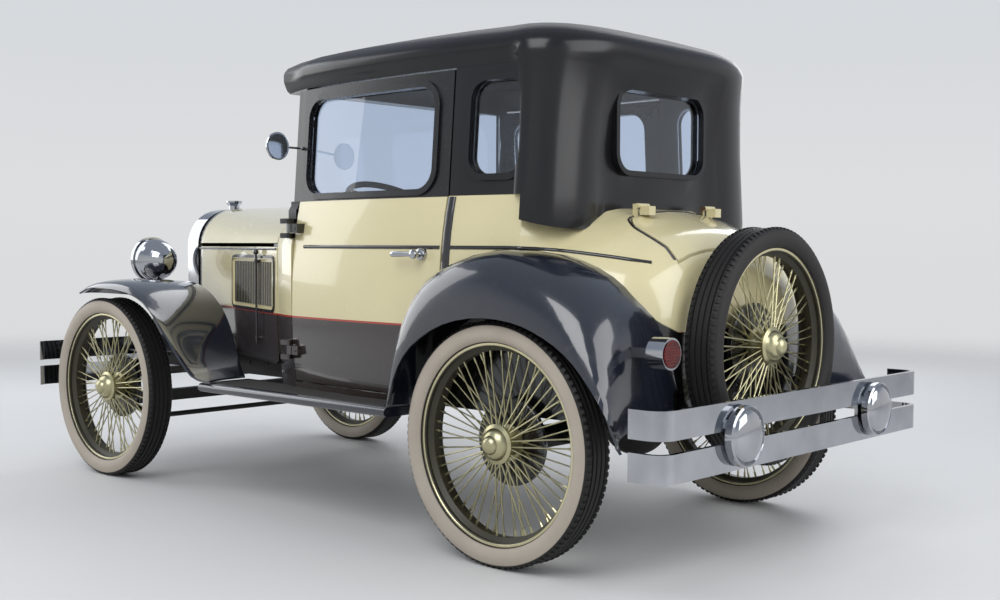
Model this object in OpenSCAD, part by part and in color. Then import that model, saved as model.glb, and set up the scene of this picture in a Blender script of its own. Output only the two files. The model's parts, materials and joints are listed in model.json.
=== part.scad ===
// Two-door coupe of the late nineteen-twenties pattern: separate fenders, wire wheels,
// butterfly hood, outside spare. Millimetres, +X forward, +Y left, +Z up, wheels on z = 0.

/* [Overall] */
// Length over the bumpers
overall_len = 3540; // [3480:10:3640]
// Width over the bumpers
bumper_w = 1630; // [1620:10:1700]
// Height of the roof crown
overall_h = 1790; // [1770:5:1830]
// Front axle to the foremost face
front_overhang = 470; // [465:1:480]
// Rear axle to the rearmost face
rear_overhang = 740; // [735:1:760]

/* [Wheels] */
// Wheel centre plane outside the body's widest line
wheel_out = 24; // [22:1:30]
// Outer diameter of the tyre
tyre_d = 780; // [760:2:784]
// Width of the tyre
tyre_w = 125; // [110:1:130]
// Diameter of the rim under the bead
rim_d = 642; // [620:2:650]
// Width of the rim
rim_w = 88; // [80:1:96]
// Spokes in one wheel
spoke_count = 40; // [20:2:44]
// Thickness of a spoke across its corners
spoke_d = 7; // [5:0.5:9]
// Diameter of the hub barrel
hub_d = 92; // [84:1:100]
// Diameter of the hub cap
cap_d = 128; // [110:1:136]
// Diameter of the brake drum
drum_d = 280; // [240:2:300]
// Diameter of the stub axle
spindle_d = 32; // [28:1:36]

/* [Body] */
// Underside of the body sides
sill_z = 470; // [466:1:478]
// Height of the widest line of the body
waist_z = 750; // [730:5:780]
// Height where the top begins
belt_z = 1180; // [1170:1:1190]
// Half width of the body at the doors
body_half = 682; // [676:1:688]
// Thickness of the body sides and doors
wall = 45; // [38:1:50]
// Thickness of the top's walls
top_wall = 36; // [30:1:42]
// Gap around doors, lids and hood leaves
seam = 6; // [6:0.5:8]
// Rear edge of the door from the rear axle
door_rear = 320; // [312:1:330]
// Front edge of the door from the rear axle
door_front = 1136; // [1130:1:1142]
// Rear wall of the top from the rear axle
top_rear = -100; // [-110:1:-90]
// Front face of the windscreen posts from the rear axle
screen_x = 1195; // [1188:1:1200]
// Tail face from the rear axle
tail_x = -432; // [-436:1:-425]

/* [Hood] */
// Rear edge of the hood from the rear axle
hood_rear = 1297; // [1290:1:1310]
// Front edge of the hood ahead of the front axle
hood_nose_out = 36; // [20:1:44]
// Half width of the hood at the radiator
hood_nose_half = 228; // [215:1:240]
// Step from the body's widest line in to the hood
hood_step = 84; // [78:1:92]
// Height of the hood's hinge line
hood_line_z = 1010; // [1000:1:1020]
// Height of the hood's centre
hood_top_z = 1186; // [1176:1:1192]
// Thickness of the hood's sheet
hood_sheet = 8; // [6:0.5:10]
// Louvres in each hood side
louvre_count = 22; // [14:1:24]

/* [Frame] */
// Height of the underside of the side rails
rail_z = 460; // [456:1:464]
// Depth of the side rails
rail_h = 96; // [90:1:98]
// Width of the side rails
rail_w = 45; // [40:1:50]
// Half distance between the rails
rail_half = 340; // [330:1:345]
// Kingpin inside the wheel centre plane
kingpin_in = 106; // [102:1:112]
// Length of the steering arms
arm_len = 150; // [140:1:160]

/* [Hidden] */
$fn = 96;

cream = "#e1d6a5";
black = "#17161a";
navy = "#1a2036";
chrome_c = "#c8ccd0";
brass_c = "#c9a760";
iron = "#2b2b2d";
glass_c = "#9fb4c4";

// play of a seated face and of a shaft in its hole
seat_gap = 0.3;
shaft_gap = 0.05;

// positions from the rear axle
rear_x = -overall_len / 2 + rear_overhang;
axle_z = tyre_d / 2;
front_x = overall_len - rear_overhang - front_overhang;
half_track = body_half + wheel_out;
kingpin_half = half_track - kingpin_in;
hood_front = front_x + hood_nose_out;
hood_cowl_half = body_half - hood_step;
floor_half = body_half - 112;
seat_half = body_half - 127;
top_h = overall_h - belt_z;
door_top = belt_z + 0.695 * top_h;
bed_z = rail_z + rail_h;
floor_t = 20;
fender_t = 8;
valance_y = 405;
spindle_end = half_track + 4;
cross_z = rail_z + 20;
rail_rear = -410;
rail_front = front_x + 250;
web = 8;
beam_top = -38;
perch_top = 15;
rear_spring_x = -160;

module at_axle() translate([rear_x, 0, 0]) children();
module flip(right) if (right) mirror([0, 1, 0]) children(); else children();
module pair() { children(); mirror([0, 1, 0]) children(); }
module along_y() rotate([-90, 0, 0]) children();
module along_x() rotate([0, 90, 0]) children();

// smooth value between the rows of a table: column 0 is the key, column c the value
function row_at(t, x, i = 0) = (i >= len(t) - 2 || x < t[i + 1][0]) ? i : row_at(t, x, i + 1);
function slope_at(t, i, c) =
    let (a = max(i - 1, 0), b = min(i + 1, len(t) - 1)) (t[b][c] - t[a][c]) / (t[b][0] - t[a][0]);
function smooth(t, x, c = 1) =
    let (i = row_at(t, x), h = t[i + 1][0] - t[i][0], s = (x - t[i][0]) / h,
        m0 = slope_at(t, i, c) * h, m1 = slope_at(t, i + 1, c) * h, y0 = t[i][c], y1 = t[i + 1][c])
    y0 + s * m0 + s * s * (3 * (y1 - y0) - 2 * m0 - m1) + s * s * s * (2 * (y0 - y1) + m0 + m1);
function ramp(a, b, n) = [for (i = [0:n]) a + (b - a) * i / n];
function flat(g) = [for (r = g) each r];

// solid skinned over closed rings of equal length
module loft(rings) {
    n = len(rings[0]);
    m = len(rings);
    polyhedron(points = flat(rings), convexity = 8, faces = concat(
        [for (i = [0:m - 2], j = [0:n - 1])
            [i * n + j, (i + 1) * n + j, (i + 1) * n + (j + 1) % n]],
        [for (i = [0:m - 2], j = [0:n - 1])
            [i * n + j, (i + 1) * n + (j + 1) % n, i * n + (j + 1) % n]],
        [[for (j = [0:n - 1]) j]], [[for (j = [n - 1:-1:0]) (m - 1) * n + j]]));
}

// sheet of thickness t behind a grid of points: seen from outside, columns run left of the rows
function unit(v) = v / max(norm(v), 1e-9);
function grid_normal(g, i, j) =
    let (a = g[max(i - 1, 0)][j], b = g[min(i + 1, len(g) - 1)][j],
        c = g[i][max(j - 1, 0)], d = g[i][min(j + 1, len(g[0]) - 1)]) unit(cross(b - a, d - c));
module sheet(rows, t) {
    m = len(rows);
    n = len(rows[0]);
    g = [for (i = [m - 1:-1:0]) rows[i]];
    under = [for (i = [0:m - 1]) [for (j = [0:n - 1]) g[i][j] - t * grid_normal(g, i, j)]];
    k = m * n;
    rim = concat([for (j = [0:n - 2]) [j, j + 1]],
        [for (i = [0:m - 2]) [i * n + n - 1, (i + 1) * n + n - 1]],
        [for (j = [n - 1:-1:1]) [(m - 1) * n + j, (m - 1) * n + j - 1]],
        [for (i = [m - 1:-1:1]) [i * n, (i - 1) * n]]);
    polyhedron(points = concat(flat(g), flat(under)), convexity = 8, faces = concat(
        [for (i = [0:m - 2], j = [0:n - 2]) [i * n + j, i * n + j + 1, (i + 1) * n + j + 1]],
        [for (i = [0:m - 2], j = [0:n - 2]) [i * n + j, (i + 1) * n + j + 1, (i + 1) * n + j]],
        [for (i = [0:m - 2], j = [0:n - 2]) [k + i * n + j, k + (i + 1) * n + j + 1, k + i * n + j + 1]],
        [for (i = [0:m - 2], j = [0:n - 2]) [k + i * n + j, k + (i + 1) * n + j,
            k + (i + 1) * n + j + 1]],
        [for (e = rim) [e[1], e[0], k + e[0]]], [for (e = rim) [e[1], k + e[0], k + e[1]]]));
}

// plan of the body: distance from the rear axle, half width, height of the deck's crown
plan = [[tail_x, 0.537 * body_half, 905], [tail_x + 24, 0.623 * body_half, 968],
    [tail_x + 82, 0.727 * body_half, 1048], [tail_x + 172, 0.809 * body_half, 1090],
    [tail_x + 269, 0.877 * body_half, 1133], [0, body_half - 46, 1160], [door_rear, body_half - 4, 1160],
    [700, body_half, 1160], [door_front, body_half - 32, 1160], [hood_rear, hood_cowl_half, 1160]];
deck_start = -130;
function body_w(x) = smooth(plan, x, 1);

// outside of the body's flank at a height: straight side, then the rounded deck
function dome_y(x, z) = z <= waist_z ? side_y(x, z)
    : body_w(x) * pow(cos(asin(min(1, pow((z - waist_z) / (smooth(plan, x, 2) - waist_z), 1 / 0.75)))),
        0.86);
// share of the rounded tail in the section: none at the column, all behind the deck's start
function tail_share(x) = max(0, min(1, (column_x - x) / (column_x - deck_start)));
function body_y(x, z) = side_y(x, z) * (1 - tail_share(x)) + dome_y(x, z) * tail_share(x);

// half section of the body from the sill up, d is the wall taken off
function side_y(x, z) = let (w = body_w(x), u = (z - waist_z) / 1000)
    z > waist_z ? w * sqrt(1 - pow(u, 2.5)) : w - 25 * pow((waist_z - z) / 280, 2);
function side_points(x, d, low, high) = [for (z =
    concat(ramp(low, waist_z, 3), ramp(waist_z + 70, high, 6)))
    [x, side_y(x, z) - d, z]];
function dome_points(x, d, low) = let (w = body_w(x) - d, h = smooth(plan, x, 2) - d - waist_z)
    concat([for (z = ramp(low, waist_z, 3)) [x, side_y(x, z) - d, z]],
        [for (t = ramp(12, 87, 6)) [x, w * pow(cos(t), 0.86), waist_z + h * pow(sin(t), 0.75)]]);
function closed(half) = concat([for (p = half) [p[0], -p[1], p[2]]],
    [for (i = [len(half) - 1:-1:0]) half[i]]);

// top: half width follows the body, leaning in; the rear corner swells into a column
function top_y(x, z) = side_y(x, belt_z) - 4 - 45 * (z - belt_z) / top_h;
corner = 190;
// front edge of the rear corner's column, and how far it laps the body's side below the belt
column_x = 6;
column_lap = 56;
top_base = top_rear + corner;
// angle round the corner, swelling of the column
column = [[0, 0], [5, 0], [7, 22], [12, 36], [24, 44], [36, 44], [48, 38], [60, 24], [70, -6],
    [76, -14], [84, -2], [90, 0]];
// share of the top's height, strength of the column, overhang of the eaves; behind, the wall sweeps out
column_fade = [[-0.24, 0.8], [-0.13, 1], [0.3, 0.92], [0.44, 0.85], [0.58, 0.65], [0.69, 0.4],
    [0.74, 0.25], [0.815, 0]];
eaves = [[0.705, 0], [0.74, 18], [0.775, 34], [0.815, 42]];
sweep = [[0.3, 0], [0.44, 4], [0.58, 13], [0.69, 26], [0.74, 34], [0.775, 39], [0.815, 42]];
corner_turns = [5, 7, 12, 20, 28, 36, 44, 52, 60, 66, 72, 78, 84, 90];
function corner_point(t, y0, a, out) = let (s = sin(t), c = max(cos(t), 0))
    [top_base - a * pow(s, 0.6), y0 * pow(c, 0.6)] + out * unit([-pow(s, 1.4) / a, pow(c, 1.4) / y0]);
function top_half(u, d, front, k) =
    let (z = belt_z + u * (top_h - d), y0 = top_y(top_base, z) - d, mid = (front + top_rear) / 2,
        eave = d > 0 ? 0 : lookup(u, eaves), swell = lookup(u, column_fade))
    [for (p = concat([for (x = ramp(front, top_base, 6)) [x, top_y(x, z) - d + eave]],
        [for (t = corner_turns) corner_point(t, y0, corner - d, d > 0 ? min(0, lookup(t, column))
            : lookup(t, column) * swell + (t < 6 ? eave : lookup(u, sweep)) * (1 + 0.6 * sin(t)))]))
        [mid + (p[0] - mid) * (1 - (1 - k) * 0.75), p[1] * k, z]];
function top_ring(u, d, front, k) = let (h = top_half(u, d, front, k))
    concat(h, [for (i = [len(h) - 2:-1:0]) [h[i][0], -h[i][1], h[i][2]]]);
// share of the top's height, share of the full plan
top_rows = [[-0.13, 1], [0, 1], [0.13, 1], [0.28, 1], [0.44, 1], [0.58, 1], [0.69, 1], [0.705, 1],
    [0.74, 1],
    [0.775, 1], [0.815, 0.992], [0.86, 0.965], [0.898, 0.9], [0.938, 0.77], [0.97, 0.58], [0.993, 0.34],
        [1, 0.16]];
module top_solid(d, low, front)
    loft(concat([top_ring(low, d, front, 1)], [for (r = top_rows) top_ring(r[0], d, front, r[1])]));

// rounded rectangle in the side view, from two corners
module window(x0, x1, z0, z1, r) along_window() {
    translate([x0 + r, z0]) square([x1 - x0 - 2 * r, z1 - z0]);
    translate([x0, z0 + r]) square([x1 - x0, z1 - z0 - 2 * r]);
    for (x = [x0 + r, x1 - r], z = [z0 + r, z1 - r]) translate([x, z]) circle(r);
}
module along_window() rotate([90, 0, 0]) translate([0, 0, -900]) linear_extrude(900 - 300) children();

// fender tables, from the axle: inner edge x, y (0 follows the body), z, then outer lip x, z
rear_fender = [[450, 0, 474, 440, 474], [425, 0, 700, 395, 590], [345, 0, 880, 320, 675],
    [200, 0, 965, 190, 745], [40, 0, 1000, 40, 775], [-120, 0, 985, -110, 768],
    [-260, 0, 930, -225, 735], [-350, 0, 850, -330, 680], [-405, 0, 760, -415, 600],
    [-425, 0, 600, -490, 510], [-428, 0, 480, -545, 425]];
front_fender = [[150, valance_y, 780, 116, 800], [60, valance_y, 830, 30, 822],
    [-60, valance_y, 850, -80, 822],
    [-180, valance_y, 845, -210, 815], [-290, valance_y, 810, -345, 793],
        [-385, valance_y, 745, -457, 741],
    [-465, valance_y + 9, 660, -577, 642], [-540, valance_y + 35, 575, -678, 552],
    [-640, 486, 504, -769, 492], [-770, 560, 478.5, -880, 478.5]];
lip_y = half_track + 94;
function keyed(t) = [for (i = [0:len(t) - 1]) concat([i], t[i])];
function fender_point(k, s, t, bulge) =
    let (x = smooth(k, s, 1), z = smooth(k, s, 3), y0 = smooth(k, s, 2),
        a = [x, y0 > 0 ? y0 : body_y(x, z) - 6, z], b = [smooth(k, s, 4), lip_y, smooth(k, s, 5)],
        u = 1 - pow(cos(t), 0.85), v = pow(sin(t), 0.85), c = unit([a[0], 0, a[2] - axle_z]))
    [a[0] + (b[0] - a[0]) * u, a[1] + (b[1] - a[1]) * v,
        a[2] + (b[2] - a[2]) * u] + c * bulge * sin(2 * t);

module chassis_frame() color(iron) at_axle() {
    pair() {
        translate([rail_rear, rail_half, rail_z]) difference() {
            cube([rail_front - rail_rear, rail_w, rail_h]);
            translate([-1, -1, web]) cube([rail_front - rail_rear + 2, rail_w - web + 1,
                rail_h - 2 * web]);
        }
        translate([0, 0, bed_z - web]) linear_extrude(web)
            polygon([[hood_rear, rail_half + 10], [hood_rear, hood_cowl_half],
                [hood_front, hood_nose_half + 8],
                [hood_front, rail_half + 10]]);
    }
    cross_half = rail_half + rail_w - web + 1;
    for (x = [rail_rear + 10, rear_spring_x - 30, 300, 900, 1270, front_x - 30])
        translate([x, -cross_half, cross_z]) cube([60, 2 * cross_half, rail_h - 40]);
    pair() for (x = [front_x - 240, front_x + 80])
        translate([x, cross_half, cross_z + 46]) cube([50, valance_y - seat_gap - cross_half, 24]);
}
engine_len = 0.58 * (hood_front - hood_rear);
engine_x = hood_front - 126 - engine_len;
arm_half = rail_half + rail_w - web - seat_gap;
// block, head with plugs, tapered sump, manifold, fan boss and the arms that reach into the rails
module engine_block() color(iron) at_axle() {
    translate([engine_x, -150, bed_z + 4]) cube([engine_len, 300, 300]);
    translate([engine_x + 12, -112, bed_z + 300]) cube([engine_len - 24, 224, 70]);
    translate([engine_x + 40, 0, 0]) across_x(engine_len - 80)
        polygon([[-150, bed_z + 10], [150, bed_z + 10], [104, 440], [-104, 440]]);
    for (i = [0:3]) translate([engine_x + engine_len * (i + 0.5) / 4, 0, bed_z + 370]) {
        cylinder(d = 26, h = 22);
        cylinder(d = 12, h = 52);
    }
    translate([engine_x + 30, -164, bed_z + 220]) along_x() cylinder(d = 56, h = engine_len - 60);
    translate([engine_x + engine_len, 0, bed_z + 240]) along_x() cylinder(d1 = 90, d2 = 60, h = 40);
    for (u = [0.097, 0.806]) translate([engine_x + u * engine_len, -arm_half, cross_z + 16])
        cube([50, 2 * arm_half, 36]);
}
gearbox_x = 1395;
module drive_line() color(iron) at_axle() {
    translate([gearbox_x, 0, 520]) along_x() cylinder(d = 190, h = engine_x - gearbox_x);
    translate([gearbox_x - 60, 0, 500]) along_x() cylinder(d1 = 110, d2 = 170, h = 61);
    translate([121, 0, 432]) along_x() cylinder(d = 70, h = gearbox_x - 100);
}
module exhaust() color("#4a4644") at_axle() {
    translate([75, -270, 420]) along_x() cylinder(d = 44, h = engine_x - 60);
    translate([500, -270, 420]) along_x() {
        cylinder(d1 = 60, d2 = 110, h = 30);
        translate([0, 0, 30]) cylinder(d = 110, h = 380);
        translate([0, 0, 410]) cylinder(d1 = 110, d2 = 60, h = 30);
    }
    translate([910, -285, 440]) cube([20, 30, cross_z - seat_gap - 440]);
}
module front_axle() color(iron) at_axle() translate([front_x, 0, axle_z]) difference() {
    union() {
        translate([-22, -kingpin_half, beam_top - 50]) cube([44, 2 * kingpin_half, 50]);
        pair() translate([0, kingpin_half, -88]) cylinder(d = 52, h = 150);
    }
    pair() translate([0, kingpin_half, -100]) cylinder(d = 24 + 2 * shaft_gap, h = 200);
}
module rear_axle() color(iron) at_axle() translate([0, 0, axle_z]) {
    translate([0, -half_track + 72, 0]) along_y() cylinder(d = 76, h = 2 * half_track - 144);
    translate([0, -spindle_end, 0]) along_y() cylinder(d = spindle_d, h = 2 * spindle_end);
    sphere(d = 240);
    pair() translate([rear_spring_x - 25, spring_half - 45, perch_top - 30])
        cube([-rear_spring_x + 25, 45, 30]);
}
spring_half = 480;
leaf_t = 9;
module leaf_springs() color(iron) at_axle() {
    translate([front_x, 0, 0]) spring_pack(axle_z + beam_top + seat_gap);
    translate([rear_spring_x, 0, 0]) spring_pack(axle_z + perch_top + seat_gap);
}
// transverse pack: leaves under the cross member, a clamp in the middle, shackles at the ends
module spring_pack(low) translate([-25, 0, cross_z - seat_gap]) {
    for (i = [0:5]) translate([0, -spring_half + 70 * i, -leaf_t * (i + 1) - 26])
        cube([50, 2 * (spring_half - 70 * i), leaf_t]);
    translate([-6, -40, -6 * leaf_t - 32]) cube([62, 80, 6 * leaf_t + 32]);
    pair() translate([5, spring_half - 30, low - cross_z + seat_gap]) cube([40, 18, cross_z - low - 28]);
}
module knuckle(right) flip(right) color(iron) at_axle() translate([front_x, kingpin_half, axle_z]) {
    translate([0, 0, -110]) cylinder(d = 24, h = 200);
    translate([0, 0, 67]) cylinder(d = 52, h = 24);
    translate([0, 0, -113]) cylinder(d = 52, h = 20);
    translate([-22, 30, -113]) cube([44, 8, 204]);
    translate([-22, 0, 67]) cube([44, 38, 24]);
    translate([-22, 0, -113]) cube([44, 38, 20]);
    along_y() translate([0, 0, 30]) cylinder(d = spindle_d, h = spindle_end - kingpin_half - 30);
    translate([-arm_len, -12, -113]) cube([arm_len, 24, 16]);
    translate([-arm_len, 0, -142]) cylinder(d = 14, h = 40);
}
module tie_rod() color(iron) at_axle() translate([front_x - arm_len, 0, axle_z - 131]) {
    difference() {
        union() {
            translate([0, -kingpin_half, 0]) along_y() cylinder(d = 22, h = 2 * kingpin_half);
            pair() translate([0, kingpin_half, -11]) cylinder(d = 36, h = 22);
        }
        translate([0, kingpin_half, -20]) cylinder(d = 14 + 2 * shaft_gap, h = 40);
        translate([0, -kingpin_half, -20]) cylinder(d = 26, h = 40);
    }
}

// wheel about the Y axis at the origin, outer side towards +Y
module wheel_solid(bore) difference() {
    union() {
        along_y() rotate_extrude() polygon([for (p = rim_profile) [rim_d / 2 - p[0], p[1] * rim_w / 2]]);
        along_y() rotate_extrude() polygon(hub_profile);
        for (i = [0:spoke_count - 1]) rotate([0, i * 360 / spoke_count, 0]) spoke(i % 2 == 0 ? 30 : -30);
    }
    if (bore) along_y() translate([0, 0, -80]) cylinder(d = spindle_d + 2 * shaft_gap, h = 88);
}
// drop-centre rim: depth under the bead, share of the half width
rim_profile = [[seat_gap, -1], [seat_gap, 1], [7, 1], [13, 0.86], [11, 0.6], [25, 0.32], [27, 0],
    [25, -0.32],
    [11, -0.6], [13, -0.86], [7, -1]];
// stepped hub: brake drum, spoke flanges and the domed cap with its knob
hub_profile = [[0, -62], [drum_d / 2 - 8, -62], [drum_d / 2, -54], [drum_d / 2, -36], [hub_d / 2, -36],
    [hub_d / 2 + 12, -34], [hub_d / 2 + 12, -26], [hub_d / 2, -23], [hub_d / 2 - 6, 0], [hub_d / 2, 20],
    [cap_d / 2 - 4, 23], [cap_d / 2, 28], [cap_d / 2, 33], [cap_d / 2 - 12, 38], [cap_d / 2 - 16, 47],
    [cap_d / 2 - 24, 57], [30, 62], [27, 70], [18, 77], [0, 79]];
module spoke(y) {
    reach = rim_d / 2 - 30 - hub_d / 2 + 14;
    translate([hub_d / 2 - 6, y, 0]) rotate([0, 90, 0]) rotate([atan(y * 0.8 / reach), 0, 0])
        cylinder(d = spoke_d, h = reach, $fn = 6);
}
module tyre_solid() along_y() rotate_extrude() polygon(tyre_profile);
tyre_profile = [for (p = [[0, 44], [0.42, 62.5], [0.76, 60], [0.93, 51], [1, 40], [1, -40], [0.93, -51],
    [0.76, -60], [0.42, -62.5], [0, -44]]) [rim_d / 2 + (tyre_d - rim_d) / 2 * p[0],
        p[1] * tyre_w / 125]];
module wheel_place(front, right) at_axle() flip(right)
    translate([front ? front_x : 0, half_track, axle_z]) children();

module radiator_shell() color(chrome_c) at_axle() {
    difference() {
        translate([hood_front + seam, 0, 0]) across_x(shell_depth) shell_outline(0);
        translate([hood_front, 0, 0]) across_x(120) shell_outline(26);
    }
    translate([hood_front + seam + shell_depth / 2, 0, hood_top_z - 4]) {
        cylinder(d = 52, h = 20);
        translate([0, 0, 20]) cylinder(d1 = 52, d2 = 78, h = 16);
        translate([0, 0, 36]) cylinder(d = 78, h = 8);
    }
    pair() leaf_pin(hood_front - 30, seam + 40);
}
shell_depth = 84;
// hinge of a hood leaf: pins on the shell and the cowl, barrels on the leaf
leaf_axis = [20, hood_top_z - 6];
module leaf_pin(x, h) translate([x, leaf_axis[0], leaf_axis[1]]) along_x() cylinder(d = 8, h = h);
module leaf_barrel(x) translate([x, leaf_axis[0], leaf_axis[1]]) along_x() cylinder(d = 16, h = 40);
module across_x(h) rotate([90, 0, 90]) linear_extrude(h) children();
module shell_outline(d) polygon(concat([[-hood_nose_half + d, bed_z + 2 + d],
    [hood_nose_half - d, bed_z + 2 + d]],
    [for (t = ramp(0, 90, 9)) [(hood_nose_half + 6 - d) * pow(cos(t), 0.8),
        hood_line_z + (hood_top_z - hood_line_z - d) * sin(t)]],
    [for (t = ramp(80, 0, 8)) [-(hood_nose_half + 6 - d) * pow(cos(t), 0.8),
        hood_line_z + (hood_top_z - hood_line_z - d) * sin(t)]]));
module radiator_core() color(iron) at_axle()
    translate([hood_front + seam + 30, 0, 0]) across_x(36) shell_outline(26 + seat_gap);

// bumper bars: face at x, ends turned back by the sign of dir
module bumper_bar(x, dir, z, h, r, tail) translate([x, 0, z]) linear_extrude(h) {
    half = bumper_w / 2;
    translate([dir > 0 ? 0 : -16, -half + r]) square([16, 2 * half - 2 * r]);
    pair2() translate([dir * r, half - r]) intersection() {
        difference() { circle(r); circle(r - 16); }
        translate([dir > 0 ? -r : 0, 0]) square([r, r]);
    }
    if (tail > 0) pair2() translate([dir > 0 ? r : -r - tail, half - 16]) square([tail, 16]);
}
module pair2() { children(); mirror([0, 1]) children(); }
front_face = overall_len / 2 - rear_x;
rear_face = -overall_len / 2 - rear_x;
module front_bumper() color(chrome_c) at_axle() {
    for (z = [368, 482]) bumper_bar(front_face, -1, z, 86, 26, 0);
    iron_x = rail_front + seat_gap;
    pair() {
        translate([iron_x + 20, rail_half - 22, 352]) cube([front_face - 15 - iron_x - 20, 14, 232]);
        translate([iron_x, rail_half + 4, rail_z + 8]) cube([30, rail_w - 4, 60]);
        translate([iron_x + 20, rail_half - 22, 460]) cube([front_face - 15 - iron_x - 20, 40, 40]);
    }
}
module rear_bumper() color(chrome_c) at_axle() {
    for (z = [356, 478]) bumper_bar(rear_face + 50, 1, z, 84, 60, 60);
    pair() translate([rear_face, 427, 458]) along_x() rotate_extrude() polygon(concat([[0, 58]],
        [for (t = ramp(0, 90, 6)) [78 * sin(t), 20 * (1 - cos(t))]],
        [[82, 24], [86, 16], [92, 20], [92, 42], [70, 58]]));
    pair() translate([rear_face + 60, rail_half + 4, 462])
        cube([rail_rear - seat_gap - rear_face - 60, rail_w - 4, 38]);
    pair() translate([rear_face + 60, 345, 380]) cube([12, 120, 150]);
}
lamp_x = front_x + 180;
lamp_y = 400;
lamp_z = 942;
bowl_r = 100;
bowl_deep = 130;
module lamp_bowl(d) along_x() rotate_extrude() polygon(concat([[0, -20 - bowl_deep - d]],
    [for (t = ramp(15, 90, 6)) [(bowl_r + d) * sin(t), -20 - (bowl_deep + d) * cos(t)]],
    [[bowl_r + 6 + d, -20], [bowl_r + 6 + d, 0], [bowl_r - 2, 0], [bowl_r - 2, -12], [0, -12]]));
module headlamps() color(chrome_c) at_axle() pair() translate([lamp_x, lamp_y, lamp_z]) lamp_bowl(0);
module lamp_lenses() color(glass_c) at_axle() pair() translate([lamp_x, lamp_y, lamp_z]) along_x()
    rotate_extrude()
    polygon(concat([[0, -12 + seat_gap], [97.7, -12 + seat_gap], [97.7, 0]],
        [for (t = ramp(10, 90, 5)) [97 * cos(t), 14 * sin(t)]]));
module lamp_bar() color(chrome_c) at_axle() {
    bar_half = valance_y - seat_gap;
    translate([bar_x, -bar_half, bar_z]) along_y() cylinder(d = 22, h = 2 * bar_half);
    pair() difference() {
        translate([bar_x, lamp_y - 24, bar_z]) cylinder(d = 24, h = lamp_z - bar_z);
        translate([lamp_x, lamp_y, lamp_z]) lamp_bowl(seat_gap);
    }
}
bar_x = hood_front + seam + shell_depth + 12;
bar_z = 720;

module fenders_front() color(navy) at_axle() pair() translate([front_x, 0, 0]) {
    k = keyed(front_fender);
    sheet([for (s = ramp(0, len(k) - 1, 24)) concat([[smooth(k, s, 1), smooth(k, s, 2),
        min(520, smooth(k, s, 3) - 8)]],
        [for (t = ramp(0, 88, 7)) fender_point(k, s, t, 20)])], fender_t);
}
module fenders_rear() color(navy) at_axle() pair() difference() {
    rear_fender_sheet(fender_t, 0);
    body_block(-seat_gap);
    translate([rail_rear - 60, rail_half - 4, rail_z - 30]) cube([100, rail_w + 8, rail_h + 40]);
}
module rear_fender_sheet(t, grow) {
    k = keyed(rear_fender);
    sheet([for (s = ramp(0, len(k) - 1, 26)) [for (t = ramp(0, 88, 8))
        fender_point(k, s, t, 14 + grow)]], t);
}
module running_boards() color(navy) at_axle() pair()
    translate([456, 0, sill_z]) across_x(front_x - 790 - 456)
        polygon(concat([[body_half - 122, -board_t], [lip_y - board_t / 2, -board_t]],
        [for (t = ramp(-75, 75, 6)) [lip_y - board_t / 2 + board_t / 2 * cos(t),
            -board_t / 2 + (board_t / 2 - seat_gap) * sin(t)]],
        [[lip_y - board_t / 2, -seat_gap], [body_half - 122, -seat_gap]]));
board_t = 34;

module floor() color(iron) at_axle() translate([-90, -floor_half, bed_z + seat_gap])
    cube([1340, 2 * floor_half, floor_t]);

// cowl between the hood and the doors
function cowl_half(x, d, low) = let (w = x > hood_rear - 20 ? hood_cowl_half : body_w(x))
    concat([for (z = ramp(low, hood_line_z, 3))
        [x, w - d - (z < waist_z ? 25 * pow((waist_z - z) / 280, 2) : 0), z]],
        [for (t = ramp(10, 86, 7)) [x, (w - d) * pow(cos(t), 0.8),
            hood_line_z + (hood_top_z - hood_line_z - d) * sin(t)]]);
cowl_rear = door_front + seam;
module post_foot(d) translate([cowl_rear, body_half - 122 - d, 1040 - d])
    cube([screen_x - cowl_rear, 46 + 2 * d, belt_z - 1040 + d]);
// block at the foot of the windscreen post: distance outward, height
post_block = [[0, belt_z - 90], [54, belt_z - 90], [62, belt_z - 82], [62, belt_z - 34], [46, belt_z - 10],
    [0, belt_z - 10]];
module cowl_block(d) loft([for (x = ramp(hood_rear - seam, cowl_rear, 3))
    closed(cowl_half(x, d, sill_z))]);
module cowl() color(cream) at_axle() {
    difference() {
        cowl_block(0);
        loft([for (x = ramp(hood_rear - 32, cowl_rear - 20, 3)) closed(cowl_half(x, 26, sill_z - 40))]);
        translate([1100, -floor_half - 10, bed_z - 40]) cube([160, 2 * floor_half + 20, floor_t + 41]);
        translate([1100, -floor_half + 10, 0]) cube([400, 2 * floor_half - 20, bed_z + seat_gap]);
    }
    pair() {
        post_foot(0);
        translate([cowl_rear + 3, body_half - 122, 0]) across_x(46) polygon(post_block);
        leaf_pin(hood_rear - seam - 12, seam + 42);
        for (z = hinge_z) {
            translate([hinge_at[0], hinge_at[1], z - 20]) cylinder(d = 8, h = 40 + hinge_h);
            for (dz = [-20, hinge_h + 1]) translate([0, 0, z + dz]) hinge_lug();
        }
    }
}
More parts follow.
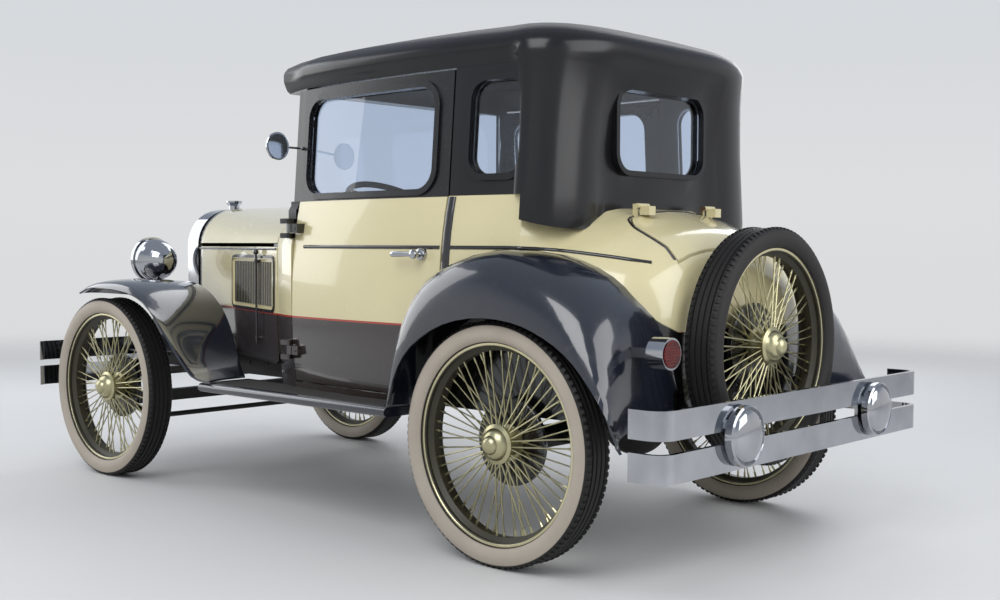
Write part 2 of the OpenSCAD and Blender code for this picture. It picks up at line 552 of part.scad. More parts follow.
// door hinges: vertical pins ahead of the door's edge, outside the skin
hinge_z = [600, 1060];
hinge_h = 34;
hinge_at = [door_front + seam / 2, body_half - 18];
module hinge_lug() {
    translate([hinge_at[0], hinge_at[1], 0]) cylinder(d = 16, h = 19);
    translate([hinge_at[0], hinge_at[1] - 8, 0]) cube([40, 16, 19]);
    translate([cowl_rear + 4, hinge_at[1] - 44, 0]) cube([32, 52, 19]);
}
module hinge_strap() {
    difference() {
        union() {
            translate([hinge_at[0], hinge_at[1], 0]) cylinder(d = 16, h = hinge_h);
            translate([hinge_at[0] - 24, hinge_at[1] - 8, 0]) cube([24, 16, hinge_h]);
            translate([hinge_at[0] - 60, hinge_at[1] - 44, 0]) cube([54, 50, hinge_h]);
        }
        translate([hinge_at[0], hinge_at[1], -1]) cylinder(d = 8 + 2 * shaft_gap, h = hinge_h + 2);
    }
}

// hood: planar louvred sides and two leaves on a centre strip
hood_len = hood_front - hood_rear;
hood_turn = atan((hood_cowl_half - hood_nose_half) / hood_len);
hood_run = hood_len / cos(hood_turn);
// louvre panel on the hood side: start and length as shares of the side, height from the ledge
louvre_from = 0.053;
louvre_run = 0.442;
louvre_z = [215, 390];
slot_w = 9;
frame_out = 6;
module side_patch(d, r) translate([louvre_from * hood_run - 32 - d, 0, louvre_z[0] - 24 - d])
    rotate([90, 0, 0])
    linear_extrude(frame_out + 2) round_patch(louvre_run * hood_run + 64 + 2 * d,
        louvre_z[1] - louvre_z[0] + 48 + 2 * d, r + d);
module round_patch(w, h, r) {
    translate([r, 0]) square([w - 2 * r, h]);
    translate([0, r]) square([w, h - 2 * r]);
    for (x = [r, w - r], y = [r, h - r]) translate([x, y]) circle(r, $fn = 48);
}
module hood_sides() color(cream) at_axle() {
    pitch = louvre_run * hood_run / louvre_count;
    pair() translate([hood_rear, hood_cowl_half, bed_z + seat_gap]) rotate([0, 0, -hood_turn]) {
        difference() {
            translate([0, -hood_sheet, 0]) cube([hood_run, hood_sheet, hood_line_z - bed_z - 4]);
            for (i = [0:louvre_count - 1]) translate([louvre_from * hood_run + i * pitch, -20,
                louvre_z[0]])
                cube([slot_w, 40, louvre_z[1] - louvre_z[0]]);
        }
        translate([0, frame_out, 0]) difference() {
            side_patch(0, 26);
            translate([0, 1, 0]) scale([1, 2, 1]) side_patch(-13, 26);
        }
        for (i = [0:louvre_count - 1]) translate([louvre_from * hood_run + i * pitch - 3, -2,
            louvre_z[0]])
            rotate([0, 0, 24]) cube([slot_w + 4, 2.5, louvre_z[1] - louvre_z[0]]);
    }
    translate([hood_rear - seam + seat_gap, -6, hood_top_z - 14])
        cube([hood_len + 2 * seam - 2 * seat_gap, 12, 12]);
}
function hood_w(x) = hood_cowl_half + (hood_nose_half - hood_cowl_half) * (x - hood_rear) / hood_len;
module hood_leaf(right) flip(right) color(cream) at_axle() difference() {
    union() {
        sheet([for (x = ramp(hood_rear, hood_front, 4)) [for (t = ramp(4, 90, 10))
            [x, 15 + (hood_w(x) - 15) * pow(cos(t), 0.9),
                hood_line_z + (hood_top_z - hood_line_z) * sin(t)]]], hood_sheet);
        leaf_barrel(hood_rear);
        leaf_barrel(hood_front - 40);
    }
    for (x = [hood_rear - 1, hood_front - 41])
        translate([x, leaf_axis[0], leaf_axis[1]]) along_x() cylinder(d = 8 + 2 * shaft_gap, h = 42);
}

// side outline of the door: rear lower corner follows the fender
module door_outline(d) {
    k = keyed(rear_fender);
    polygon(concat([[door_front + d, sill_z + 30 - d], [door_front + d, door_top + d],
        [door_rear - d, door_top + d],
        [door_rear - d, 915 - d]], [for (s = ramp(1.9, 0.3, 5))
            [smooth(k, s, 1) + 22 - d, smooth(k, s, 3) + 8 - d]],
        [[474 - d, sill_z + 30 - d]]));
}
module door_prism(d) translate([0, body_half + 218, 0]) rotate([90, 0, 0]) linear_extrude(400)
    door_outline(d);
glass_x = [395, 1098];
glass_z = [belt_z + 27, belt_z + 0.618 * top_h];
quarter_x = [20, 235];
quarter_z = [belt_z + 0.115 * top_h, glass_z[1]];
rear_glass_z = [belt_z + 0.148 * top_h, belt_z + 0.59 * top_h];
lip_w = 22;
lip_out = 9;
// raised lip round a window of the sides
module lip_ring(xs, zs, r) difference() {
    window(xs[0] - lip_w, xs[1] + lip_w, zs[0] - lip_w, zs[1] + lip_w, r + lip_w);
    window(xs[0], xs[1], zs[0], zs[1], r);
}
module door_panel() difference() {
    union() {
        intersection() { door_low(); door_prism(0); }
        intersection() { door_high(0, top_wall); door_prism(0); }
        intersection() { door_high(lip_out, lip_out + 8); lip_ring(glass_x, glass_z, 70); }
        for (z = hinge_z) translate([0, 0, z]) hinge_strap();
    }
    window(glass_x[0], glass_x[1], glass_z[0], glass_z[1], 70);
}
module door_low(d = 0) sheet([for (z = concat(ramp(sill_z + 10, waist_z, 3),
    ramp(waist_z + 70, belt_z, 6)))
    [for (x = [1150, 1040, 900, 700, 500, 400, 300]) [x, side_y(x, z) + d, z]]], wall);
module door_high(d, t) sheet([for (z = ramp(belt_z - 20, door_top + 16, 3))
    [for (x = [1150, 1040, 900, 700, 500, 400, 300]) [x, top_y(x, z) + d, z]]], t);
module door(right) flip(right) color(cream) at_axle() door_panel();
module pane(x0, x1, z0, z1) sheet([for (z = [z0, z1])
    [for (x = ramp(x1, x0, 4)) [x, top_y(x, z) - 14, z]]], 6);
module door_glass(right) flip(right) color(glass_c) at_axle() intersection() {
    pane(glass_x[0] - 5, glass_x[1] + 5, glass_z[0] - 5, glass_z[1] + 5);
    window(glass_x[0] + seat_gap, glass_x[1] - seat_gap, glass_z[0] + seat_gap, glass_z[1] - seat_gap,
        70 - seat_gap);
}
mirror_z = belt_z + 0.328 * top_h;
module door_trim(right) flip(right) color(chrome_c) at_axle() {
    difference() {
        translate([400, side_y(400, 985) - 6, 985]) along_y() cylinder(d = 42, h = 20);
        door_low(seat_gap);
    }
    translate([400, side_y(400, 985) + 10, 985]) along_y() cylinder(d = 18, h = 42);
    translate([392, side_y(400, 985) + 40, 974]) cube([120, 14, 22]);
    mirror_y = top_y(1128, mirror_z);
    difference() {
        translate([1128, mirror_y - 4, mirror_z]) along_y() cylinder(d = 14, h = 24);
        door_high(seat_gap, top_wall);
    }
    translate([1128, mirror_y + 10, mirror_z]) along_y() cylinder(d = 9, h = 110);
    translate([1100, mirror_y + 148, mirror_z]) along_x() rotate_extrude()
        polygon(concat([[0, 0], [50, 0]], [for (t = ramp(0, 90, 6)) [52 * cos(t), 4 + 26 * sin(t)]]));
}

// tail: sides behind the doors, wheel houses and rounded deck
lid = [-380, -170, 300]; // rear edge, front edge, half width
module body_rear() color(cream) at_axle() {
    difference() {
        tail_shell();
        pair() door_prism(seam);
        pair() translate([0, body_half - 60, axle_z]) along_y() cylinder(d = tyre_d + 70, h = 200);
        lid_cut(seam, 300);
        translate([-90 - 1, -floor_half - 30, bed_z - 30])
            cube([1400, 2 * floor_half + 60, floor_t + 32]);
        pair() translate([-500, rail_half - 6, 0]) cube([3000, rail_w + 12, bed_z + seat_gap]);
    }
    for (y = [-200, 200]) lid_lugs(y);
    pair() intersection() {
        translate([0, body_half - 82, axle_z]) along_y() cylinder(d = tyre_d + 80, h = 20);
        translate([-500, 500, sill_z]) cube([1000, 200, 500]);
    }
}
// outside of the body behind the cowl, d is taken off all round
module body_block(d) loft([for (x = concat([cowl_rear - seat_gap, 900, 700, 500, 330, 200, 100,
    column_x + 1], tail_turns, [tail_x + 24, tail_x + 8, tail_x + d]))
        closed(body_section(x, d, sill_z + d))]);
tail_turns = [column_x, -30, -70, -100, deck_start, -180, -230, -290, -340, -380];
function body_section(x, d, low) = let (m = tail_share(x), dome = dome_points(x, d, low),
    side = side_points(x, d, low, belt_z - d - (x > column_x ? 0 : column_lap)))
    [for (i = [0:len(side) - 1]) side[i] * (1 - m) + dome[i] * m];
module tail_shell() {
    difference() {
        body_block(0);
        loft([for (x = [1300, 900, 700, 500, 330, 200, 100, column_x + 2])
            closed(side_points(min(x, belt_z), wall, sill_z - 40, belt_z + 60))]);
        loft(concat([closed([for (p = body_section(column_x, 30, sill_z - 40)) p + [3, 0, 0]])],
            [for (x = concat(tail_turns, [tail_x + 30])) closed(body_section(x, 30, sill_z - 40))]));
    }
}
module lid_cut(d, h) translate([0, 0, 800]) linear_extrude(h + 400) {
    translate([lid[0] - d, -lid[2] - d]) square([lid[1] - lid[0] - 40 + 2 * d, 2 * lid[2] + 2 * d]);
    translate([lid[0] - d, -lid[2] + 60 - d]) square([lid[1] - lid[0] + 2 * d, 2 * lid[2] - 120 + 2 * d]);
    pair2() translate([lid[1] - 60, lid[2] - 60]) circle(60 + d);
}
module trunk_lid() color(cream) at_axle() {
    intersection() {
    difference() {
        loft([for (x = [deck_start, -180, -230, -290, -340, -380, tail_x + 24])
            closed(dome_points(x, 0, sill_z))]);
        loft([for (x = [0, deck_start, -180, -230, -290, -340, -380, tail_x])
            closed(dome_points(max(x, tail_x), 28, sill_z - 40))]);
    }
    lid_cut(0, 500);
    }
    for (y = [-200, 200]) lid_strap(y);
}
// lid hinges: a barrel on a strap of the lid between two lugs of the deck
lid_axis = [lid[1] + seam / 2, 1150];
module lid_strap(y) translate([lid_axis[0], y - 18, lid_axis[1]]) difference() {
    union() {
        along_y() cylinder(d = 16, h = 36);
        translate([-40, 0, -32]) cube([38, 36, 30]);
        translate([-6, 0, -8]) cube([6, 36, 10]);
    }
    translate([0, -1, 0]) along_y() cylinder(d = 8 + 2 * shaft_gap, h = 38);
}
module lid_lugs(y) translate([lid_axis[0], y, lid_axis[1]]) {
    translate([0, -30, 0]) along_y() cylinder(d = 8, h = 60);
    for (dy = [-31, 19]) translate([0, dy, 0]) {
        along_y() cylinder(d = 16, h = 12);
        translate([seam / 2 + 1, 0, -40]) cube([14, 12, 46]);
        translate([0, 0, -8]) cube([14, 12, 14]);
    }
}

module cabin_top() color(black) at_axle() {
    difference() {
        top_solid(0, -0.225, screen_x);
        top_solid(top_wall, -0.28, screen_x - top_wall);
        translate([-500, -900, visor_z + 1]) cube([2500, 1800, 600]);
        translate([0, 800, 0]) rotate([90, 0, 0]) linear_extrude(1600)
            polygon([[1500, belt_z], [0, belt_z],
            [0, belt_z - 82], [-300, belt_z - 165], [-300, 700], [1500, 700]]);
        body_block(-seat_gap);
        cowl_block(-seat_gap);
        pair() door_prism(seam);
        pair() window(quarter_x[0], quarter_x[1], quarter_z[0], quarter_z[1], 60);
        translate([screen_x - 100, 0, 0]) across_x(200) screen_outline(0);
        translate([top_rear - 100, 0, 0]) across_x(300) rear_outline(0);
    }
    difference() {
        roof();
        top_solid(top_wall, -0.28, screen_x - top_wall);
        pair() door_prism(seam);
    }
    pair() intersection() {
        sheet([for (z = [quarter_z[0] - 40, quarter_z[1] + 40])
            [for (x = ramp(300, -20, 8)) [x, top_side(x, z) + lip_out, z]]],
            lip_out + 12);
        lip_ring(quarter_x, quarter_z, 60);
    }
    translate([top_rear - lip_out, 0, 0]) difference() {
        across_x(lip_out + 12) rear_outline(-lip_w + 4);
        translate([-1, 0, 0]) across_x(60) rear_outline(0);
    }
}
// outside of the top's wall seen from the side, also where the corner begins
function top_side(x, z) = x >= top_base ? top_y(x, z)
    : top_y(top_base, z) * pow(cos(asin(pow((top_base - x) / corner, 1 / 0.6))), 0.6);
// roof above the doors, carried ahead of the screen as a visor with a rounded edge and corners
visor_out = 130;
visor_r = 30;
visor_turn = 90;
visor_z = door_top;
visor_x = screen_x + visor_out;
visor_half = top_y(visor_x - visor_turn, visor_z) + lookup(1, eaves);
module roof() intersection() {
    top_solid(0, 0, visor_x);
    translate([0, 900, 0]) rotate([90, 0, 0]) linear_extrude(1800)
        polygon(concat([[top_rear - 100, overall_h + 1], [top_rear - 100, visor_z]],
            [for (t = ramp(-90, 0, 6)) [visor_x - visor_r + visor_r * cos(t),
                visor_z + visor_r + visor_r * sin(t)]],
            [[visor_x, overall_h + 1]]));
    linear_extrude(overall_h + 1) {
        translate([top_rear - 100, -900]) square([visor_x - visor_turn - top_rear + 100, 1800]);
        translate([0, visor_turn - visor_half]) square([visor_x, 2 * (visor_half - visor_turn)]);
        pair2() translate([visor_x - visor_turn, visor_half - visor_turn]) circle(visor_turn);
    }
}
screen_half = body_half - 130;
screen_z = [belt_z + 20, belt_z + 0.682 * top_h];
module screen_outline(d) translate([-screen_half + d, screen_z[0] + d])
    square([2 * screen_half - 2 * d, screen_z[1] - screen_z[0] - 2 * d]);
module rear_outline(d) {
    r = 60 - d;
    for (y = [-190, 190], z = [rear_glass_z[0] + 60, rear_glass_z[1] - 60]) translate([y, z]) circle(r);
    translate([-250 + d, rear_glass_z[0] + 60])
        square([500 - 2 * d, rear_glass_z[1] - rear_glass_z[0] - 120]);
    translate([-190, rear_glass_z[0] + d]) square([380, rear_glass_z[1] - rear_glass_z[0] - 2 * d]);
}
module fixed_glass() color(glass_c) at_axle() {
    translate([screen_x - 22, 0, 0]) across_x(6) screen_outline(seat_gap);
    translate([top_rear + 14, 0, 0]) across_x(6) rear_outline(seat_gap);
    pair() intersection() {
        pane(quarter_x[0] - 5, quarter_x[1] + 5, quarter_z[0] - 5, quarter_z[1] + 5);
        window(quarter_x[0] + seat_gap, quarter_x[1] - seat_gap, quarter_z[0] + seat_gap,
            quarter_z[1] - seat_gap, 60 - seat_gap);
    }
}
module dashboard() color(black) at_axle() difference() {
    translate([cowl_rear + 4, 0, 0]) across_x(30)
        polygon([for (p = closed(cowl_half(cowl_rear + 34, 26 + seat_gap, 960))) [p[1], p[2]]]);
    pair() post_foot(seat_gap);
}
// seats: a crowned cushion and a raked back, rounded where they meet the sitter
seat_low = bed_z + floor_t + 2 * seat_gap;
seat_rear = 190;
seat_len = 480;
module seat_profile(pts) translate([0, seat_half, seat_low]) rotate([90, 0, 0])
    linear_extrude(2 * seat_half) polygon(pts);
module seat_cushion() color("#6b5b45") at_axle()
    seat_profile(concat([[seat_rear, 0], [seat_rear + seat_len - 30, 0]],
    [for (t = ramp(-30, 90, 6)) [seat_rear + seat_len - 60 + 60 * cos(t), 225 + 60 * sin(t)]],
    [[seat_rear + seat_len * 0.55, 290], [seat_rear + 60, 275], [seat_rear, 255]]));
module seat_back() color("#6b5b45") at_axle() seat_profile(concat([[60, 0], [seat_rear - seat_gap, 0],
    [seat_rear - seat_gap, 300], [seat_rear - 14, 420], [seat_rear - 38, 620]],
    [for (t = ramp(0, 180, 8)) [106 + 42 * cos(t), 660 + 40 * sin(t)]]));

// steering column from the floor to the wheel
column_foot = [1212, 330, bed_z + floor_t + 2 * seat_gap];
column_tilt = 30;
column_len = 640;
module on_column() translate(column_foot) rotate([0, -column_tilt, 0]) children();
module steering_column() color(iron) at_axle() difference() {
    on_column() {
        translate([0, 0, -40]) cylinder(d = 38, h = column_len + 40);
        cylinder(d = 20, h = column_len + 50);
    }
    translate(column_foot - [200, 200, 200]) cube([400, 400, 200]);
}
module steering_wheel() color(black) at_axle() on_column() translate([0, 0, column_len + seat_gap])
    difference() {
    union() {
        rotate_extrude() translate([205, 22]) circle(d = 24);
        cylinder(d = 70, h = 40);
        for (a = [45:90:315]) rotate([0, 0, a]) translate([0, 0, 22]) along_x() cylinder(d = 16, h = 204);
    }
    translate([0, 0, -1]) cylinder(d = 20 + 2 * shaft_gap, h = 60);
}

tail_lamp_at = [-560, 590, 700];
module tail_lamp() color(chrome_c) at_axle() difference() {
    tail_lamp_body();
    rear_fender_sheet(fender_t + seat_gap, seat_gap);
}
module tail_lamp_body() translate(tail_lamp_at) {
    along_x() difference() {
        cylinder(d = 96, h = 60);
        translate([0, 0, -1]) cylinder(d = 84, h = 14);
    }
    translate([40, -20, -15]) cube([94, 40, 30]);
}
module tail_lens() color("#b01818") at_axle() translate(tail_lamp_at + [13 - seat_gap - 16, 0, 0])
    along_x() cylinder(d = 84 - 2 * seat_gap, h = 16);

spare_at = [tail_x - 22 - tyre_w / 2, 0, 690];
module spare_place() at_axle() translate(spare_at) rotate([0, 0, 90]) children();
module spare_carrier() color(iron) at_axle() {
    translate([spare_at[0] - 4, 0, spare_at[2]]) along_x()
        cylinder(d = spindle_d, h = tail_x - seat_gap - spare_at[0] + 4);
    translate([tail_x - 14, -60, 630]) cube([14 - seat_gap, 120, 120]);
}

chassis_frame();
engine_block();
drive_line();
exhaust();
front_axle();
rear_axle();
leaf_springs();
radiator_shell();
radiator_core();
front_bumper();
rear_bumper();
headlamps();
lamp_lenses();
lamp_bar();
fenders_front();
fenders_rear();
running_boards();
floor();
cowl();
hood_sides();
hood_leaf(false);  // hood_left
hood_leaf(true);  // hood_right
body_rear();
cabin_top();
fixed_glass();
dashboard();
seat_cushion();
seat_back();
steering_column();
steering_wheel();
door(false);  // door_left
door(true);  // door_right
door_glass(false);  // door_glass_left
door_glass(true);  // door_glass_right
door_trim(false);  // door_trim_left
door_trim(true);  // door_trim_right
trunk_lid();
tail_lamp();
tail_lens();
spare_carrier();
color(brass_c) spare_place() wheel_solid(true);  // spare_wheel
color(black) spare_place() tyre_solid();  // spare_tyre
knuckle(false);  // knuckle_left
knuckle(true);  // knuckle_right
tie_rod();
color(brass_c) wheel_place(true, false)  // wheel_front_left
    wheel_solid(true);
color(brass_c) wheel_place(true, true)  // wheel_front_right
    wheel_solid(true);
color(brass_c) wheel_place(false, false)  // wheel_rear_left
    wheel_solid(true);
color(brass_c) wheel_place(false, true)  // wheel_rear_right
    wheel_solid(true);
color(black) wheel_place(true, false) tyre_solid();  // tyre_front_left
color(black) wheel_place(true, true) tyre_solid();  // tyre_front_right
color(black) wheel_place(false, false) tyre_solid();  // tyre_rear_left
color(black) wheel_place(false, true) tyre_solid();  // tyre_rear_right
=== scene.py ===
import json
import math

import bmesh
import bpy
from mathutils import Matrix, Vector
from mathutils.bvhtree import BVHTree


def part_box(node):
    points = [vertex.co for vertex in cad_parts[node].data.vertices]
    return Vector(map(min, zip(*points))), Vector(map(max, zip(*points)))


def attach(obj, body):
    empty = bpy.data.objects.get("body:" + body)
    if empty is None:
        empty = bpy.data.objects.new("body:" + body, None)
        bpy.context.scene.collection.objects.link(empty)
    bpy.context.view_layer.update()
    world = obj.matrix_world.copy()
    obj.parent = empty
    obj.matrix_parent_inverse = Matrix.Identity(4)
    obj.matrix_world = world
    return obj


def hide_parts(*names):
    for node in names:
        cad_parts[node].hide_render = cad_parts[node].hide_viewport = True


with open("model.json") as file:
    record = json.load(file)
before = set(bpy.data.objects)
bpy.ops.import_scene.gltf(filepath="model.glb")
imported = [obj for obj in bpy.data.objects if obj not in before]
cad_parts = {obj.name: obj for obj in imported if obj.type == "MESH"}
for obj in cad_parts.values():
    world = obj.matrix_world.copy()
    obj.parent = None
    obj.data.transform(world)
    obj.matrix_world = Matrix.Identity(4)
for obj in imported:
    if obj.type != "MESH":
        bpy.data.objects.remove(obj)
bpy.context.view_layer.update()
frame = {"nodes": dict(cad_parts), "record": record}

LEFT, RIGHT = 1, -1
SIDES = ((LEFT, "left"), (RIGHT, "right"))


def middle(node):
    low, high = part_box(node)
    return (Vector(low) + Vector(high)) / 2


# Places in metres. Lengths along the car count from the rear axle.
REAR_AXLE = middle("tyre_rear_left")
REAR_X = REAR_AXLE.x
AXLE_Z = REAR_AXLE.z
STRIPE_Z = 0.743         # red line between the two body colours
STRIPE_HALF = 0.0035
FRAME_Z = 1.178          # window frames begin
MOULDING_Z = 1.008       # black line along the doors and the tail
ROOF_Z = 1.715           # sides of the top turn over into the roof
HOOD_LINE_Z = 0.998
DOOR_REAR, DOOR_FRONT = 0.320, 1.136
HOOD_REAR, HOOD_FRONT = 1.297, 2.366
HOOD_HALF_REAR, HOOD_HALF_FRONT = 0.598, 0.228
HOOD_TURN = math.atan2(HOOD_HALF_REAR - HOOD_HALF_FRONT, HOOD_FRONT - HOOD_REAR)
HOOD_RUN = (HOOD_FRONT - HOOD_REAR) / math.cos(HOOD_TURN)
LOUVRES = 22
LOUVRE_START = 0.053 * HOOD_RUN
LOUVRE_PITCH = 0.442 * HOOD_RUN / LOUVRES
LOUVRE_Z = (0.7713, 0.9463)
# painted shade: the black ring round the louvres stands for the shade on the inner slope of their raised
# frame
LOUVRE_BORDER = (0.032, 0.024)   # black border, this far outside the louvres along and up
LOUVRE_CORNER = 0.030
LACING = 0.034           # black band at the hood's front end
CRISP = 0.0005           # softness of a sharp edge between colours
HINGE_X, HINGE_Z, HINGE_H = 1.139, 1.060, 0.034
HINGE_LEAF = 0.061       # length of the upper hinge's leaf on the door
POST_FRONT, POST_HALF = 1.1965, 0.561
KNUCKLE_HALF = 0.618
WHEEL_HOUSE_R = 0.560
RIM_R = 0.321
LIP_R = 0.3125           # the rim is polished outside this
WALL_R = 0.3765          # pale side walls end


def from_axle(x):
    return REAR_X + x


def tint(red, green, blue):
    """A colour given as it looks on a screen, 0 to 255, as the linear values a shader takes."""
    out = []
    for part in (red, green, blue):
        share = part / 255
        out.append(share / 12.92 if share <= 0.04045 else ((share + 0.055) / 1.055) ** 2.4)
    return (*out, 1.0)


CREAM = tint(212, 202, 160)
CREAM_SHADE = tint(199, 188, 146)
LOWER_DARK = tint(47, 40, 37)
PIN_RED = tint(160, 46, 28)
TOP_DARK = tint(15, 15, 17)
TOP_LIGHT = tint(25, 25, 28)
BLACK = tint(13, 13, 14)
BLACK_WORN = tint(26, 25, 25)
DUST = tint(122, 114, 98)
LINING = tint(74, 59, 46)
LINING_WORN = tint(94, 76, 60)


# Shader and geometry trees

class Flow:
    """A socket of a node tree. Sums and products of it add Math nodes; make() adds any other node."""

    def __init__(self, tree, socket=None):
        self.tree = tree
        self.socket = socket

    def make(self, kind, settings=None, inputs=None, out=0):
        node = self.tree.nodes.new(kind)
        for key, value in (settings or {}).items():
            if key == "stops":
                ramp = node.color_ramp
                while len(ramp.elements) < len(value):
                    ramp.elements.new(1.0)
                for element, (place, colour) in zip(ramp.elements, value):
                    element.position = place
                    element.color = colour
            else:
                setattr(node, key, value)
        for key, value in (inputs or {}).items():
            if isinstance(value, Flow):
                self.tree.links.new(value.socket, node.inputs[key])
            else:
                node.inputs[key].default_value = value
        return Flow(self.tree, node.outputs[out])

    def maths(self, operation, first, second=0.0):
        return self.make("ShaderNodeMath", {"operation": operation}, {0: first, 1: second})

    def __add__(self, other):
        return self.maths("ADD", self, other)

    __radd__ = __add__

    def __sub__(self, other):
        return self.maths("SUBTRACT", self, other)

    def __rsub__(self, other):
        return self.maths("SUBTRACT", other, self)

    def __mul__(self, other):
        return self.maths("MULTIPLY", self, other)

    __rmul__ = __mul__

    def __truediv__(self, other):
        return self.maths("DIVIDE", self, other)

    def size(self):
        return self.maths("ABSOLUTE", self)

    def most(self, other):
        return self.maths("MAXIMUM", self, other)

    def hypot(self, other):
        return self.maths("SQRT", self * self + other * other)

    def wave(self, pitch):
        """0 to 1 and back over each pitch."""
        return self.maths("PINGPONG", self, pitch / 2) * (2 / pitch)

    def over(self, edge, soft):
        """0 below the edge, 1 above it, with a soft step between."""
        return self.make("ShaderNodeMapRange", {"interpolation_type": "SMOOTHSTEP"},
                         {"Value": self, "From Min": edge - soft, "From Max": edge + soft})

    def within(self, low, high, soft):
        return self.over(low, soft) * (1 - self.over(high, soft))

    def blend(self, below, above):
        """The first colour where this is 0 and the second where it is 1."""
        return self.make("ShaderNodeMix", {"data_type": "RGBA"}, {0: self, 6: below, 7: above}, out=2)

    def noise(self, place, scale, detail=3.0, rough=0.5):
        return self.make("ShaderNodeTexNoise", None,
                         {"Vector": place, "Scale": scale, "Detail": detail, "Roughness": rough})

    def stretched(self, place, factors):
        return self.make("ShaderNodeMapping", None, {"Vector": place, "Scale": factors})

    def bump(self, height, strength, distance):
        return self.make("ShaderNodeBump", None,
                         {"Height": height, "Strength": strength, "Distance": distance})

    def axes(self, place):
        return [self.make("ShaderNodeSeparateXYZ", None, {"Vector": place}, out=axis) for axis in "XYZ"]

    def kept(self, name):
        """A number stored on the mesh."""
        return self.make("ShaderNodeAttribute", {"attribute_name": name}, out="Fac")


def material(name, constants, varying):
    """A Principled material: constants set on its sockets, and what varying() returns linked to them."""
    made = bpy.data.materials.new(name)
    made.use_nodes = True
    tree = made.node_tree
    shader = tree.nodes["Principled BSDF"]
    for socket, value in constants.items():
        shader.inputs[socket].default_value = value
    start = Flow(tree)
    place = start.make("ShaderNodeTexCoord", out="Object")
    for socket, flow in varying(start, place).items():
        tree.links.new(flow.socket, shader.inputs[socket])
    return made


def paint(name, colours, gloss, coat, dull=None):
    """Sprayed and polished paint: colours(start, place, cloud) is its pattern, with fine peel and dust.

    dull(start, place) is 1 where the finish is satin."""
    def varying(start, place):
        cloud = start.noise(place, 3.1, 5.0)
        dust = start.noise(place, 41.0, 4.0, 0.65)
        peel = start.noise(place, 520.0, 2.0)
        settled = (1 - start.axes(place)[2]).over(0.35, 0.35) * 0.12
        look = {"Base Color": (dust.over(0.66, 0.08) * (0.05 + settled)).blend(
                    colours(start, place, cloud), DUST),
                "Roughness": gloss + 0.10 * cloud + 0.07 * dust.over(0.62, 0.1),
                "Normal": start.bump(peel, 0.035, 0.001)}
        if dull:
            matt = dull(start, place)
            look["Roughness"] = look["Roughness"] + 0.05 * matt
            look["Coat Weight"] = coat * (1 - matt)
        return look
    return material(name, {"Coat Weight": coat, "Coat Roughness": 0.04, "IOR": 1.5}, varying)


def two_tone(start, place, cloud):
    """Cream over dark, with the red line between; brown lining on the faces marked as inner."""
    high = start.axes(place)[2]
    body = high.over(STRIPE_Z, 0.0006).blend(LOWER_DARK, cloud.blend(CREAM_SHADE, CREAM))
    lined = high.within(STRIPE_Z - STRIPE_HALF, STRIPE_Z + STRIPE_HALF, CRISP).blend(body, PIN_RED)
    return start.kept("inner").blend(lined, cloud.blend(LINING, LINING_WORN))


def window_frame(start, place):
    return start.axes(place)[2].over(FRAME_Z, 0.0006)


def door_colours(start, place, cloud):
    """The two tones, the dark window frame and the black leaf of the upper hinge."""
    along, _, high = start.axes(place)
    leaf = (along.over(from_axle(HINGE_X - HINGE_LEAF), CRISP)
            * high.within(HINGE_Z - 0.001, HINGE_Z + HINGE_H + 0.001, CRISP))
    body = leaf.blend(two_tone(start, place, cloud), BLACK)
    return window_frame(start, place).blend(body, cloud.blend(TOP_DARK, TOP_LIGHT))


def tail_colours(start, place, cloud):
    """The two tones, black inside the wheel houses."""
    along, _, high = start.axes(place)
    reach = (along - REAR_X).hypot(high - AXLE_Z)
    return reach.over(WHEEL_HOUSE_R, 0.002).blend(BLACK, two_tone(start, place, cloud))


def post_foot(start, place):
    """1 on the feet of the windscreen posts and on the knuckles of the upper hinges."""
    along, across, high = start.axes(place)
    behind = along.within(from_axle(HINGE_X - 0.010), from_axle(POST_FRONT), CRISP)
    foot = across.size().over(POST_HALF, CRISP) * high.over(HINGE_Z + 0.032, CRISP)
    knuckle = across.size().over(KNUCKLE_HALF, CRISP) * high.over(HINGE_Z - 0.021, CRISP)
    return behind * foot.most(knuckle)


def cowl_colours(start, place, cloud):
    return post_foot(start, place).blend(two_tone(start, place, cloud), cloud.blend(TOP_DARK, TOP_LIGHT))


def hood_colours(start, place, cloud):
    """The two tones, black paint on the band at the radiator, and painted shade in black in the louvre
    openings and on a ring round them, where the raised frame slopes in.
    """
    along, _, high = start.axes(place)
    run_at = (along - from_axle(HOOD_REAR)) / math.cos(HOOD_TURN) - LOUVRE_START
    # painted shade: black in each louvre opening, where the openings are in shade
    louvre_shade = 1 - start.maths("FRACT", run_at / LOUVRE_PITCH).over(0.74, 0.02)
    louvre_shade = louvre_shade * run_at.within(-0.004, LOUVRES * LOUVRE_PITCH, CRISP) * high.within(*LOUVRE_Z, CRISP)
    band = along.over(from_axle(HOOD_FRONT - LACING), 0.0008)
    half_run, half_high = LOUVRES * LOUVRE_PITCH / 2, (LOUVRE_Z[1] - LOUVRE_Z[0]) / 2
    # painted shade: a black ring round the louvres, where their raised frame slopes in
    past_run = (run_at - half_run).size() - (half_run + LOUVRE_BORDER[0] - LOUVRE_CORNER)
    past_high = (high - sum(LOUVRE_Z) / 2).size() - (half_high + LOUVRE_BORDER[1] - LOUVRE_CORNER)
    reach = past_run.most(0.0).hypot(past_high.most(0.0))
    border_shade = reach.within(LOUVRE_CORNER - 0.010, LOUVRE_CORNER + 0.003, 0.0006)
    # the band at the radiator is black paint; the louvres and the ring round them are painted shade
    return louvre_shade.most(band).most(border_shade).blend(two_tone(start, place, cloud), BLACK)


def one_tone(dark, light):
    return lambda start, place, cloud: cloud.blend(dark, light)


